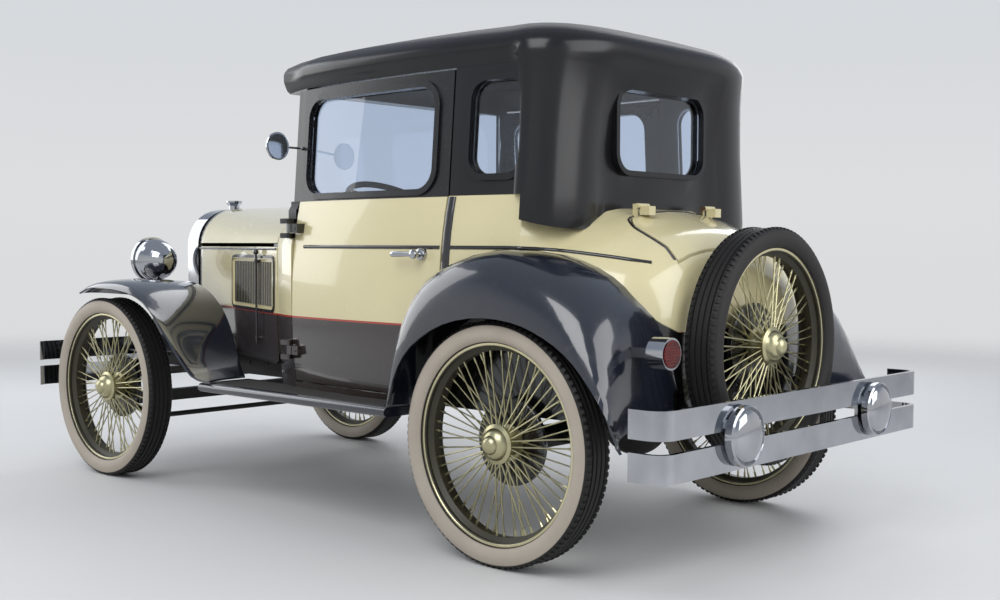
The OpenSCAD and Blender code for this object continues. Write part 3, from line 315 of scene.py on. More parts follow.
def metal(name, dark, light, rough, grain):
    """Plated or bare metal: breathes a little in colour, with polishing haze and fine scratches."""
    def varying(start, place):
        cloud = start.noise(place, 9.0, 4.0)
        scratch = start.noise(start.stretched(place, (35.0, 900.0, 900.0)), 1.0, 2.0)
        return {"Base Color": cloud.blend(dark, light),
                "Roughness": rough + grain * cloud.over(0.55, 0.2) + 0.5 * grain * scratch,
                "Normal": start.bump(scratch, 0.02, 0.0005)}
    return material(name, {"Metallic": 1.0}, varying)


def satin(name, dark, light, rough, grain_scale, grain):
    """A dull covering such as coated cloth, iron paint or rubber, with grain in relief."""
    def varying(start, place):
        cloud = start.noise(place, 6.0, 5.0)
        grit = start.noise(place, grain_scale, 3.0, 0.6)
        return {"Base Color": (cloud * 0.6 + grit * 0.4).blend(dark, light),
                "Roughness": rough + 0.15 * grit,
                "Normal": start.bump(grit, grain, 0.0012)}
    return material(name, {"Specular IOR Level": 0.45}, varying)


def top_cloth():
    """Coated cloth of the top: polished on the sides, dull and more weathered over the roof."""
    def varying(start, place):
        roof = start.axes(place)[2].over(ROOF_Z, 0.035)
        cloud = start.noise(place, 6.0, 5.0)
        grit = start.noise(place, 300.0, 3.0, 0.6)
        return {"Base Color": (cloud * 0.6 + grit * 0.4).blend(TOP_DARK, TOP_LIGHT),
                "Roughness": 0.15 + 0.15 * grit + 0.34 * roof,
                "Normal": start.bump(grit * (0.4 + roof), 0.10, 0.0012)}
    return material("top_cover", {"Specular IOR Level": 0.4}, varying)


def clear(name, colour, rough, flutes):
    """Glass: flutes gives the height of its pattern."""
    def varying(start, place):
        smear = start.noise(place, 14.0, 4.0)
        return {"Roughness": rough + 0.05 * smear.over(0.6, 0.2),
                "Normal": start.bump(flutes(start, place, smear), 0.25, 0.002)}
    return material(name, {"Base Color": colour, "Transmission Weight": 1.0, "IOR": 1.45}, varying)


def pane(start, place, smear):
    return smear * 0.02


def fluted(start, place, smear):
    return start.axes(place)[1].wave(0.014)


def beaded(start, place, smear):
    _, across, high = start.axes(place)
    return across.wave(0.009) * high.wave(0.009)


def tyre_rubber(name, wall_dark, wall_light):
    """Rubber by the radius kept on the mesh: a side-wall band with moulded ribs, black elsewhere."""
    def varying(start, place):
        reach = start.kept("reach")
        cloud = start.noise(place, 7.0, 5.0)
        grit = start.noise(place, 260.0, 3.0, 0.6)
        band = reach.within(RIM_R + 0.003, WALL_R, 0.0008)
        black = grit.blend(tint(14, 13, 13), tint(31, 29, 28))
        ribs = reach.within(0.322, 0.329, 0.001) + reach.within(0.371, WALL_R, 0.001)
        return {"Base Color": band.blend(black, (cloud * 0.7 + grit * 0.3).blend(wall_dark, wall_light)),
                "Roughness": 0.52 + 0.15 * grit,
                "Normal": start.bump(grit * 0.35 + reach.wave(0.004) * ribs, 0.4, 0.001)}
    return material(name, {"Specular IOR Level": 0.4}, varying)


def rim_paint():
    """Dark barrel with a bright polished lip, by the radius kept on the mesh."""
    def varying(start, place):
        lip = start.kept("reach").over(LIP_R, 0.001)
        cloud = start.noise(place, 11.0, 4.0)
        return {"Base Color": lip.blend(cloud.blend(tint(40, 38, 28), tint(62, 58, 42)),
                                        cloud.blend(tint(196, 188, 148), tint(226, 219, 184))),
                "Metallic": 0.15 + 0.75 * lip,
                "Roughness": 0.42 - 0.20 * lip + 0.10 * cloud,
                "Normal": start.bump(start.noise(place, 300.0), 0.05, 0.0006)}
    return material("rim_paint", {"IOR": 1.5}, varying)


def honeycomb():
    """Radiator core: crimped fins round cells in relief, with painted shade, near black, in the cells
    where the core's openings are.
    """
    def varying(start, place):
        _, across, high = start.axes(place)
        cell = across.wave(0.008) * high.wave(0.011)
        grime = start.noise(place, 30.0, 4.0)
        fins = grime.blend(tint(58, 52, 44), tint(92, 84, 72))
        # painted shade: near black in the cells, standing for the shade inside the core's openings
        return {"Base Color": cell.over(0.45, 0.2).blend(tint(8, 8, 8), fins),
                "Roughness": 0.45 + 0.2 * grime,
                "Normal": start.bump(cell, 0.9, 0.003)}
    return material("radiator_core", {"Metallic": 0.6}, varying)


def hide(name, dark, light):
    """Leather: pebbled grain, creases and lighter worn crowns."""
    def varying(start, place):
        cloud = start.noise(place, 5.0, 5.0)
        pebble = start.make("ShaderNodeTexVoronoi", {"feature": "DISTANCE_TO_EDGE"},
                            {"Vector": place, "Scale": 330.0})
        crease = start.noise(start.stretched(place, (18.0, 60.0, 18.0)), 1.0, 4.0)
        return {"Base Color": (cloud * 0.7 + crease * 0.3).blend(dark, light),
                "Roughness": 0.36 + 0.16 * cloud + 0.10 * crease,
                "Normal": start.bump(pebble.over(0.05, 0.05) * 0.6 + crease * 0.4, 0.30, 0.0012)}
    return material(name, {"Specular IOR Level": 0.45}, varying)


tail_paint = paint("two_tone_tail", tail_colours, 0.16, 0.8)
door_paint = paint("two_tone_door", door_colours, 0.16, 0.8, window_frame)
cowl_paint = paint("two_tone_cowl", cowl_colours, 0.16, 0.8, post_foot)
hood_paint = paint("two_tone_hood", hood_colours, 0.16, 0.8)
fender_paint = paint("blue_black_fender", one_tone(tint(20, 24, 33), tint(29, 34, 46)), 0.14, 1.0)
black_paint = paint("black_trim", one_tone(BLACK, BLACK_WORN), 0.2, 0.7)
frame_black = satin("frame_black", tint(16, 16, 16), tint(34, 32, 30), 0.45, 160.0, 0.25)
top_cover = top_cloth()
chrome = metal("nickel_plate", tint(154, 156, 160), tint(194, 196, 200), 0.05, 0.05)
silvered = metal("mirror_silver", tint(196, 200, 204), tint(222, 225, 228), 0.02, 0.02)
spoke_gold = metal("spoke_gold", tint(150, 145, 112), tint(208, 202, 164), 0.24, 0.10)
steel = metal("spring_steel", tint(70, 68, 66), tint(104, 100, 96), 0.4, 0.15)
exhaust_skin = metal("exhaust_skin", tint(84, 66, 52), tint(120, 104, 92), 0.5, 0.15)
iron = satin("cast_iron", tint(52, 60, 52), tint(76, 84, 74), 0.5, 220.0, 0.4)
mat = satin("floor_mat", tint(30, 27, 25), tint(46, 42, 38), 0.7, 120.0, 0.4)
seat_hide = hide("seat_leather", tint(66, 48, 36), tint(100, 76, 58))
card_hide = hide("card_leather", tint(58, 43, 33), tint(86, 66, 51))
wheel_hard = satin("steering_rim", tint(14, 12, 11), tint(28, 25, 23), 0.25, 90.0, 0.05)
dial_face = satin("dial_face", tint(196, 188, 160), tint(222, 214, 188), 0.5, 240.0, 0.05)
core = honeycomb()
rim_finish = rim_paint()
white_wall = tyre_rubber("white_wall_tyre", tint(152, 142, 129), tint(180, 170, 156))
dark_wall = tyre_rubber("dark_wall_tyre", tint(22, 19, 18), tint(38, 34, 32))
window_glass = clear("window_glass", (0.75, 0.82, 0.93, 1.0), 0.0, pane)
lamp_glass = clear("lamp_glass", (0.95, 0.96, 0.97, 1.0), 0.05, fluted)
red_glass = clear("red_glass", tint(196, 18, 16), 0.1, beaded)

# A CAD node's merged copy, shaded smooth up to an angle, stands for the node.
FINISHES = {
    tail_paint: (35, ["body_rear", "trunk_lid"]),
    door_paint: (35, ["door_left", "door_right"]),
    cowl_paint: (35, ["cowl"]),
    hood_paint: (35, ["hood_sides", "hood_left", "hood_right"]),
    fender_paint: (40, ["fenders_front", "fenders_rear", "running_boards"]),
    top_cover: (42, ["cabin_top"]),
    chrome: (35, ["radiator_shell", "front_bumper", "rear_bumper", "headlamps", "lamp_bar",
                  "tail_lamp"]),
    frame_black: (30, ["chassis_frame", "drive_line", "front_axle", "rear_axle", "spare_carrier",
                       "knuckle_left", "knuckle_right", "tie_rod", "steering_column", "dashboard"]),
    steel: (30, ["leaf_springs"]),
    exhaust_skin: (35, ["exhaust"]),
    iron: (30, ["engine_block"]),
    mat: (30, ["floor"]),
    core: (30, ["radiator_core"]),
    wheel_hard: (35, ["steering_wheel"]),
    window_glass: (30, ["fixed_glass", "door_glass_left", "door_glass_right"]),
    lamp_glass: (35, ["lamp_lenses"]),
    red_glass: (35, ["tail_lens"]),
}
BODY_OF = {node: body for body, nodes in frame["record"]["behaviour"]["bodies"].items()
           for node in nodes}


# Pieces

def added(name, data):
    made = bpy.data.objects.new(name, data)
    bpy.context.scene.collection.objects.link(made)
    return made


def piece(name, mesh, body, finish, angle=35):
    made = added(name, mesh)
    mesh.materials.clear()
    mesh.materials.append(finish)
    mesh.shade_smooth()
    mesh.set_sharp_from_angle(angle=math.radians(angle))
    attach(made, body)
    return made


WELD = 0.00002


def merged(node):
    """A welded copy of a CAD node's mesh, without the normals that it came with."""
    mesh = frame["nodes"][node].data.copy()
    for kept in ("custom_normal", "sharp_edge", "sharp_face"):
        if kept in mesh.attributes:
            mesh.attributes.remove(mesh.attributes[kept])
    work = bmesh.new()
    work.from_mesh(mesh)
    bmesh.ops.remove_doubles(work, verts=work.verts, dist=WELD)
    work.to_mesh(mesh)
    work.free()
    return mesh


# nodes with lining, and which way along the car their bulkheads face the cabin
LINED = {"door_left": 1, "door_right": 1, "body_rear": 1, "cowl": -1}
CABIN_HALF = 0.55
BULKHEAD_TURN, LINING_TURN = 0.5, 0.3   # least parts of a normal that point along, and inward


def mark_inner(mesh, way):
    """Keeps 1 on the faces that look into the cabin."""
    inner = mesh.attributes.new("inner", "FLOAT", "FACE")
    for face, value in zip(mesh.polygons, inner.data):
        outward = face.normal.y if face.center.y > 0 else -face.normal.y
        bulkhead = face.normal.x * way > BULKHEAD_TURN and abs(face.center.y) < CABIN_HALF
        value.value = 1.0 if outward < -LINING_TURN or bulkhead else 0.0


def dress(node, finish, angle):
    mesh = merged(node)
    if node in LINED:
        mark_inner(mesh, LINED[node])
    made = piece(node + "_skin", mesh, BODY_OF[node], finish, angle)
    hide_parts(node)


def meshed(name, work):
    """A mesh from a bmesh, its faces turned outward."""
    bmesh.ops.recalc_face_normals(work, faces=work.faces)
    mesh = bpy.data.meshes.new(name)
    work.to_mesh(mesh)
    work.free()
    return mesh


def skinned(work, rings, closed=False):
    """Faces between rings of equal length; the ends are capped unless the rings close on each other."""
    rows = [[work.verts.new(point) for point in ring] for ring in rings]
    count = len(rows[0])
    for first, second in list(zip(rows, rows[1:])) + ([(rows[-1], rows[0])] if closed else []):
        for i in range(count):
            k = (i + 1) % count
            work.faces.new((first[i], first[k], second[k], second[i]))
    if not closed:
        work.faces.new(rows[0])
        work.faces.new(rows[-1])


def turns(count):
    return [math.tau * i / count for i in range(count)]


def circle(centre, way, radius, sides):
    """Points round a centre, square to a way."""
    across = way.orthogonal().normalized()
    over = way.cross(across)
    return [Vector(centre) + radius * (math.cos(t) * across + math.sin(t) * over) for t in turns(sides)]


def rod(work, start, end, radius, sides=8):
    way = (Vector(end) - Vector(start)).normalized()
    skinned(work, [circle(at, way, radius, sides) for at in (start, end)])


def revolved(name, section, steps, closed=False):
    """A section of (radius, place along Y) turned about the Y axis; its radius is kept as 'reach'."""
    work = bmesh.new()
    skinned(work, [[(radius * math.cos(t), along, radius * math.sin(t)) for t in turns(steps)]
                   for radius, along in section], closed)
    mesh = meshed(name, work)
    reach = mesh.attributes.new("reach", "FLOAT", "POINT")
    for vertex, value in zip(mesh.vertices, reach.data):
        value.value = math.hypot(vertex.co.x, vertex.co.z)
    return mesh


def eased(points, steps):
    """A smooth open run through points."""
    ends = [points[0], *points, points[-1]]
    out = []
    for a, b, c, d in zip(ends, ends[1:], ends[2:], ends[3:]):
        for i in range(steps):
            t = i / steps
            out.append(tuple(0.5 * (2 * q + (r - p) * t + (2 * p - 5 * q + 4 * r - s) * t * t
                                    + (3 * q - p - 3 * r + s) * t ** 3)
                             for p, q, r, s in zip(a, b, c, d)))
    return out + [tuple(points[-1])]


def placed(mesh, matrix):
    mesh.transform(matrix)
    if matrix.determinant() < 0:
        mesh.flip_normals()
    return mesh


# Repeats: one geometry tree for a ring of copies and one for a row

def tree_of(name, sockets):
    tree = bpy.data.node_groups.new(name, "GeometryNodeTree")
    for label, kind in sockets:
        tree.interface.new_socket(label, in_out="INPUT", socket_type=kind)
    tree.interface.new_socket("Geometry", in_out="OUTPUT", socket_type="NodeSocketGeometry")
    entry = tree.nodes.new("NodeGroupInput")
    inputs = {label: Flow(tree, entry.outputs[label]) for label, _ in sockets}
    return tree, Flow(tree), inputs


def closed_tree(tree, start, copies, inputs):
    real = start.make("GeometryNodeRealizeInstances", None, {"Geometry": copies})
    shown = start.make("GeometryNodeSetMaterial", None, {"Geometry": real, "Material": inputs["Finish"]})
    tree.links.new(shown.socket, tree.nodes.new("NodeGroupOutput").inputs[0])
    return tree


def ring_tree():
    tree, start, inputs = tree_of("ring_of_copies", (
        ("Source", "NodeSocketObject"), ("Count", "NodeSocketInt"), ("Axis", "NodeSocketVector"),
        ("Centre", "NodeSocketVector"), ("Finish", "NodeSocketMaterial")))
    source = start.make("GeometryNodeObjectInfo", None, {"Object": inputs["Source"]}, out="Geometry")
    points = start.make("GeometryNodePoints", None, {"Count": inputs["Count"]})
    turn = start.make("GeometryNodeInputIndex") * math.tau / inputs["Count"]
    spin = start.make("FunctionNodeAxisAngleToRotation", None, {"Axis": inputs["Axis"], "Angle": turn})
    copies = start.make("GeometryNodeInstanceOnPoints", None,
                        {"Points": points, "Instance": source, "Rotation": spin})
    moved = start.make("GeometryNodeTransform", None,
                       {"Geometry": copies, "Translation": inputs["Centre"]})
    return closed_tree(tree, start, moved, inputs)


def row_tree():
    tree, start, inputs = tree_of("row_of_copies", (
        ("Source", "NodeSocketObject"), ("Count", "NodeSocketInt"), ("Start", "NodeSocketVector"),
        ("Step", "NodeSocketVector"), ("Finish", "NodeSocketMaterial")))
    source = start.make("GeometryNodeObjectInfo", None, {"Object": inputs["Source"]}, out="Geometry")
    number = start.make("GeometryNodeInputIndex")
    at = start.make("ShaderNodeVectorMath", {"operation": "MULTIPLY_ADD"},
                    {0: inputs["Step"], 1: number, 2: inputs["Start"]})
    points = start.make("GeometryNodePoints", None, {"Count": inputs["Count"], "Position": at})
    copies = start.make("GeometryNodeInstanceOnPoints", None, {"Points": points, "Instance": source})
    return closed_tree(tree, start, copies, inputs)


RING = ring_tree()
ROW = row_tree()


def evaluated_mesh(host):
    return bpy.data.meshes.new_from_object(host.evaluated_get(bpy.context.evaluated_depsgraph_get()))


def repeated(name, tree, source, finish, **values):
    """The plain mesh that a geometry tree makes from a source mesh."""
    pattern = added(name + "_one", source)
    host = added(name + "_many", bpy.data.meshes.new(name + "_host"))
    repeat = host.modifiers.new("repeat", "NODES")
    repeat.node_group = tree
    sockets = {item.name: item.identifier for item in tree.interface.items_tree
               if item.in_out == "INPUT"}
    for label, value in {"Source": pattern, "Finish": finish, **values}.items():
        repeat[sockets[label]] = value
    mesh = evaluated_mesh(host)
    mesh.name = name
    bpy.data.objects.remove(host)
    bpy.data.objects.remove(pattern)
    return mesh


def joined(name, meshes):
    work = bmesh.new()
    for mesh in meshes:
        work.from_mesh(mesh)
    mesh = bpy.data.meshes.new(name)
    work.to_mesh(mesh)
    work.free()
    return mesh


# Wheels are made about the Y axis, outer side to +Y, then put in place.

TYRE_WALL = [(RIM_R + 0.0003, 0.044), (0.327, 0.0525), (0.338, 0.0594), (0.352, 0.0622), (0.366, 0.0606),
             (0.3768, 0.0566), (0.3828, 0.0500)]
TREAD_R = 0.3862
GROOVE_R = 0.3815
GROOVES_Y = (0.031, 0.0105, -0.0105, -0.031)
GROOVE_TOP, GROOVE_FLOOR = 0.004, 0.0025   # half widths
LUGS = 104
LUG_SECTION = ((0.3790, 0.0545), (0.3870, 0.0490), (0.3896, 0.0460), (0.3896, 0.0385), (0.3850, 0.0370))
LUG_SPAN = (-1.05, 0.75)                   # degrees
RIM_SECTION = [(0.3205, 0.0436), (0.3205, -0.0436), (0.3140, -0.0440), (0.3090, -0.0390),
               (0.3105, -0.0270), (0.2960, -0.0140), (0.2945, 0.0), (0.2960, 0.0140),
               (0.3105, 0.0270), (0.3090, 0.0390), (0.3140, 0.0440)]
DRUM_SECTION = [(0.0005, -0.0618), (0.128, -0.0618), (0.1380, -0.0560), (0.1400, -0.0520),
                (0.1400, -0.0380), (0.1380, -0.0362), (0.046, -0.0362)]
HUB_SECTION = [(0.046, -0.0364), (0.0575, -0.0340), (0.0575, -0.0262), (0.0460, -0.0230), (0.0400, 0.0),
               (0.0460, 0.0200), (0.0600, 0.0228), (0.0636, 0.0275), (0.0636, 0.0325), (0.0520, 0.0380),
               (0.0480, 0.0470), (0.0400, 0.0570), (0.0300, 0.0615), (0.0268, 0.0700), (0.0180, 0.0768),
               (0.0090, 0.0788), (0.0005, 0.0790)]
SPOKE_R = 0.0026
SPOKE_END_R = 0.2965
NIPPLE_R, NIPPLE_LONG = 0.0044, 0.020
SPOKE_SETS = 15
# rim angle in degrees, lead of the hub end, hub radius, hub place, rim place
SPOKES = ((3.0, -8.0, 0.045, 0.026, 0.009), (9.0, 8.0, 0.045, 0.026, 0.009),
          (15.0, -13.0, 0.053, -0.029, -0.009), (21.0, 13.0, 0.053, -0.029, -0.009))


def polar(radius, degrees, along):
    turn = math.radians(degrees)
    return Vector((radius * math.cos(turn), along, radius * math.sin(turn)))


def tyre_mesh():
    wall = eased(TYRE_WALL, 5)
    tread = []
    for y in GROOVES_Y:
        tread += [(TREAD_R, y + GROOVE_TOP), (GROOVE_R, y + GROOVE_FLOOR),
                  (GROOVE_R, y - GROOVE_FLOOR), (TREAD_R, y - GROOVE_TOP)]
    section = wall + tread + [(radius, -y) for radius, y in reversed(wall)]
    body = revolved("tyre", section, 144, closed=True)
    work = bmesh.new()
    for side, shift in ((LEFT, 0.0), (RIGHT, 180.0 / LUGS)):
        skinned(work, [[polar(radius, shift + turn, side * y) for radius, y in LUG_SECTION]
                       for turn in LUG_SPAN])
    lugs = repeated("tyre_lugs", RING, meshed("lug", work), dark_wall, Count=LUGS, Axis=(0, 1, 0),
                    Centre=(0, 0, 0))
    return joined("tyre", (body, lugs))


def spoke_mesh():
    work = bmesh.new()
    for angle, lead, hub_r, hub_y, rim_y in SPOKES:
        hub, rim = polar(hub_r, angle + lead, hub_y), polar(SPOKE_END_R, angle, rim_y)
        rod(work, hub, rim, SPOKE_R)
        rod(work, rim + (hub - rim).normalized() * NIPPLE_LONG, rim, NIPPLE_R, 6)
    return repeated("spokes", RING, meshed("spoke_set", work), spoke_gold, Count=SPOKE_SETS,
                    Axis=(0, 1, 0), Centre=(0, 0, 0))


def wheel(tag, wheel_node, tyre_node, matrix, rubber):
    body = BODY_OF[wheel_node]
    tyre = piece("tyre_" + tag, placed(tyre_mesh(), matrix), body, rubber)
    fill_reach(tyre.data, matrix)
    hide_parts(tyre_node)
    rim = piece("rim_" + tag, placed(revolved("rim", RIM_SECTION, 128, closed=True), matrix), body,
                rim_finish)
    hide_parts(wheel_node)
    for part, mesh, finish in (("spokes_", spoke_mesh(), spoke_gold),
                               ("hub_", revolved("hub", HUB_SECTION, 64), spoke_gold),
                               ("drum_", revolved("drum", DRUM_SECTION, 64), black_paint)):
        piece(part + tag, placed(mesh, matrix), body, finish)


def fill_reach(mesh, matrix):
    """The radius again after the lugs came in without one."""
    back = matrix.inverted()
    reach = mesh.attributes.get("reach") or mesh.attributes.new("reach", "FLOAT", "POINT")
    for vertex, value in zip(mesh.vertices, reach.data):
        local = back @ vertex.co
        value.value = math.hypot(local.x, local.z)


def wheels():
    for end in ("front", "rear"):
        for side, hand in SIDES:
            tag = end + "_" + hand
            node = "tyre_" + tag
            wheel(tag, "wheel_" + tag, node,
                  Matrix.Translation(middle(node)) @ Matrix.Diagonal((1, side, 1, 1)), white_wall)
    wheel("spare", "spare_wheel", "spare_tyre",
          Matrix.Translation(middle("spare_tyre")) @ Matrix.Rotation(math.pi / 2, 4, "Z"), dark_wall)


# Trim laid on the skin: rays from outside find the surface.

def skin_of(*nodes):
    points, faces = [], []
    for node in nodes:
        mesh = frame["nodes"][node].data
        faces += [[len(points) + i for i in face.vertices] for face in mesh.polygons]
        points += [vertex.co.copy() for vertex in mesh.vertices]
    return BVHTree.FromPolygons(points, faces)


OUTSIDE = 1.5            # rays start this far out, clear of the body


def on_side(skin, x, z, side, start=OUTSIDE, way=-1):
    """The point and outward normal where a sideways ray at x, z meets the skin."""
    place, normal, _, _ = skin.ray_cast(Vector((x, side * start, z)), Vector((0, side * way, 0)))
    if place is None:
        return None
    if normal.y * side * way > 0:
        normal = -normal
    return place, normal


def bead(name, spots, width, height, sink=0.0015):
    """A half-round strip along points with normals."""
    work = bmesh.new()
    rings = []
    for i, (place, normal) in enumerate(spots):
        ahead = (spots[min(i + 1, len(spots) - 1)][0] - spots[max(i - 1, 0)][0]).normalized()
        across = normal.cross(ahead).normalized()
        half = width / 2
        ring = [place + across * (half * math.cos(t)) + normal * (height * math.sin(t))
                for t in run(0.0, math.pi, 9)]
        ring += [place + across * shift - normal * sink for shift in (-half, half)]
        rings.append(ring)
    skinned(work, rings)
    return meshed(name, work)


def run(first, last, count):
    return [first + (last - first) * i / (count - 1) for i in range(count)]


TAIL_BEND, TAIL_RUN, TAIL_DROP = 0.06, 0.46, 0.055


def tail_height(x):
    """The moulding runs level past the door and bends down round the tail."""
    return MOULDING_Z - TAIL_DROP * max(0.0, (TAIL_BEND - x) / TAIL_RUN) ** 1.7


# where each black line runs, as places along the car and heights
DOOR_LINE = [(x, MOULDING_Z) for x in run(DOOR_REAR + 0.006, DOOR_FRONT - 0.070, 24)]
TAIL_LINE = [(x, tail_height(x)) for x in run(0.306, -0.345, 60)]
POST_LINE = [(0.297, z) for z in run(0.86, 1.176, 24)]
HOOD_LINE = [(x, HOOD_LINE_Z) for x in run(HOOD_REAR + 0.008, HOOD_FRONT - 0.008, 12)]


def mouldings():
    tail = skin_of("body_rear", "trunk_lid")
    hood = skin_of("hood_sides")
    for side, hand in SIDES:
        door = skin_of("door_" + hand)
        for name, body, skin, line, width, height in (
                ("door_moulding", "door_" + hand, door, DOOR_LINE, 0.013, 0.005),
                ("tail_moulding", "chassis", tail, TAIL_LINE, 0.013, 0.005),
                ("post_strip", "chassis", tail, POST_LINE, 0.034, 0.006),
                ("hood_line", "chassis", hood, HOOD_LINE, 0.010, 0.005)):
            spots = [on_side(skin, from_axle(x), z, side) for x, z in line]
            strip = bead(name, [spot for spot in spots if spot], width, height)
            piece(name + "_" + hand, strip, body, black_paint)


LID_REAR, LID_FRONT, LID_HALF, LID_CORNER = -0.376, -0.170, 0.300, 0.060
LID_SEAL_OUT, LID_SEAL_WIDE, LID_SEAL_TALL = 0.012, 0.010, 0.0035
LID_HINGE_Y = (0.160, 0.240)


def lid_seal():
    """A black seal on the deck round the sides and the front of the lid, left out under its hinges."""
    deck = skin_of("body_rear")
    half, front = LID_HALF + LID_SEAL_OUT, LID_FRONT + LID_SEAL_OUT
    bend = LID_CORNER + LID_SEAL_OUT
    side = [(x, half) for x in run(LID_REAR, front - bend, 24)]
    turn = [(front - bend + bend * math.sin(t), half - bend + bend * math.cos(t))
            for t in run(0.0, math.pi / 2, 12)[1:]]
    turn = [(x, y) for x, y in turn if y > LID_HINGE_Y[1]] + [(front, LID_HINGE_Y[1])]
    middle_run = [(front, y) for y in run(LID_HINGE_Y[0], -LID_HINGE_Y[0], 24)]
    parts = []
    for outline in (side + turn, middle_run, [(x, -y) for x, y in side + turn]):
        spots = []
        for x, y in outline:
            place, normal, _, _ = deck.ray_cast(Vector((from_axle(x), y, OUTSIDE)), Vector((0, 0, -1)))
            if place is not None and normal.z > 0:
                spots.append((place, normal))
        parts.append(bead("lid_seal", spots, LID_SEAL_WIDE, LID_SEAL_TALL))
    piece("lid_seal", joined("lid_seal", parts), "chassis", black_paint)


HANDLE_X, HANDLE_Z, HANDLE_TIP_X = 0.400, 0.985, 0.512
HANDLES_UNDER, MIRRORS_OVER = 1.1, 1.2   # heights that part a door's trim into handle and mirror
# radius, depth under the outermost point of the handle
COLLAR = ((0.0210, 0.058), (0.0210, 0.041), (0.0190, 0.0375), (0.0125, 0.0355), (0.0085, 0.0300),
          (0.0080, 0.0225), (0.0120, 0.0195), (0.0160, 0.0140), (0.0168, 0.0085), (0.0150, 0.0038),
          (0.0095, 0.0006), (0.0010, 0.0))
# share of the length, half height, half thickness
LEVER = ((0.0, 0.0075, 0.0058), (0.25, 0.0082, 0.0050), (0.55, 0.0094, 0.0046),
         (0.85, 0.0104, 0.0046), (0.96, 0.0092, 0.0042), (1.0, 0.0050, 0.0024))
LEVER_DEEP = 0.0085
MIRROR_X, MIRROR_FACE_X, MIRROR_R = 1.128, 1.100, 0.052
MIRROR_RIM = [(0.0455, 0.0030), (0.0455, 0.0004), (0.0500, 0.0002), (0.0518, 0.0022)]
MIRROR_BOWL = [(0.0518 * math.cos(t), 0.004 + 0.0255 * math.sin(t)) for t in run(0.05, 1.54, 14)]
MIRROR_DISC = [(0.0458, 0.0028), (0.0458, 0.0016), (0.0300, 0.0010), (0.0005, 0.0008)]
# start and end along the stem, radius
STEM_STEPS = ((0.0, 0.020, 0.0068), (0.018, 0.024, 0.0056))
STEM_START, STEM_R = 0.022, 0.0042


def door_handle(hand, flip, grip_y):
    """A ball on a collar, with a tapered lever."""
    collar = revolved("collar", [(radius, grip_y - deep) for radius, deep in COLLAR], 40)
    collar.transform(Matrix.Translation((from_axle(HANDLE_X), 0, HANDLE_Z)))
    work = bmesh.new()
    skinned(work, [[(from_axle(HANDLE_X + share * (HANDLE_TIP_X - HANDLE_X)),
                     grip_y - LEVER_DEEP + thick * math.cos(t), HANDLE_Z + tall * math.sin(t))
                    for t in turns(20)] for share, tall, thick in LEVER])
    parts = [placed(collar, flip), placed(meshed("lever", work), flip)]
    return piece("door_handle_" + hand, joined("door_handle", parts), "door_" + hand, chrome)


def door_mirror(hand, flip, foot, tip, high):
    """A round mirror on a stepped stem, from foot to tip across the car."""
    head = Matrix.Translation((from_axle(MIRROR_FACE_X), tip - MIRROR_R, high))
    head = flip @ (head @ Matrix.Rotation(-math.pi / 2, 4, "Z"))
    post = Vector((from_axle(MIRROR_X), 0, high))
    stem = bmesh.new()
    for first, last, radius in STEM_STEPS:
        rod(stem, post + Vector((0, foot + first, 0)), post + Vector((0, foot + last, 0)), radius, 20)
    rod(stem, post + Vector((0, foot + STEM_START, 0)),
        post + Vector((-0.006, tip - 2 * MIRROR_R + 0.016, 0)), STEM_R, 16)
    parts = [placed(revolved("mirror_shell", MIRROR_RIM + MIRROR_BOWL, 56), head),
             placed(meshed("stem", stem), flip)]
    piece("door_mirror_" + hand, joined("door_mirror", parts), "door_" + hand, chrome)
    piece("mirror_glass_" + hand, placed(revolved("mirror_glass", MIRROR_DISC, 48), head),
          "door_" + hand, silvered)


def door_fittings():
    """Each door's handle and mirror, as far out and as high as the CAD model has them."""
    for side, hand in SIDES:
        node = "door_trim_" + hand
        points = [vertex.co for vertex in frame["nodes"][node].data.vertices]
        flip = Matrix.Diagonal((1, side, 1, 1))
        grip_y = max(side * p.y for p in points if p.z < HANDLES_UNDER)
        made = door_handle(hand, flip, grip_y)
        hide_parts(node)
        mirror = [p for p in points if p.z > MIRRORS_OVER]
        reach = [side * p.y for p in mirror]
        heights = [p.z for p in mirror]
        door_mirror(hand, flip, min(reach), max(reach), (max(heights) + min(heights)) / 2)


LATCH_X, LATCH_LOW, LATCH_TOP = 1.495, 0.615, 0.985
LATCH_OFF = (0.016, 0.018)               # how far the rod stands off, low and at the grip
LATCH_R, GRIP_R = 0.0045, 0.011
LATCH_EYES = (0.06, 0.90)                # shares of the rod
EYE_HALF = Vector((0, 0, 0.008))
EYE_R, EYE_STEM_R, EYE_STEM = 0.008, 0.006, 0.020


def hood_latches():
    """A sprung rod with a ball grip and two eyes on each hood side."""
    hood = skin_of("hood_sides")
    for side, hand in SIDES:
        work = bmesh.new()
        x = from_axle(LATCH_X)
        low, normal = on_side(hood, x, LATCH_LOW, side)
        top = on_side(hood, x, LATCH_TOP, side)[0]
        foot, grip = low + normal * LATCH_OFF[0], top + normal * LATCH_OFF[1]
        rod(work, foot, grip, LATCH_R, 12)
        for share in LATCH_EYES:
            at = foot.lerp(grip, share)
            rod(work, at, at - normal * EYE_STEM, EYE_STEM_R, 12)
            rod(work, at - EYE_HALF, at + EYE_HALF, EYE_R, 12)
        bmesh.ops.create_uvsphere(work, u_segments=20, v_segments=12, radius=GRIP_R,
                                  matrix=Matrix.Translation(grip))
        piece("hood_latch_" + hand, meshed("hood_latch", work), "chassis", black_paint)


# Fasteners and other repeats

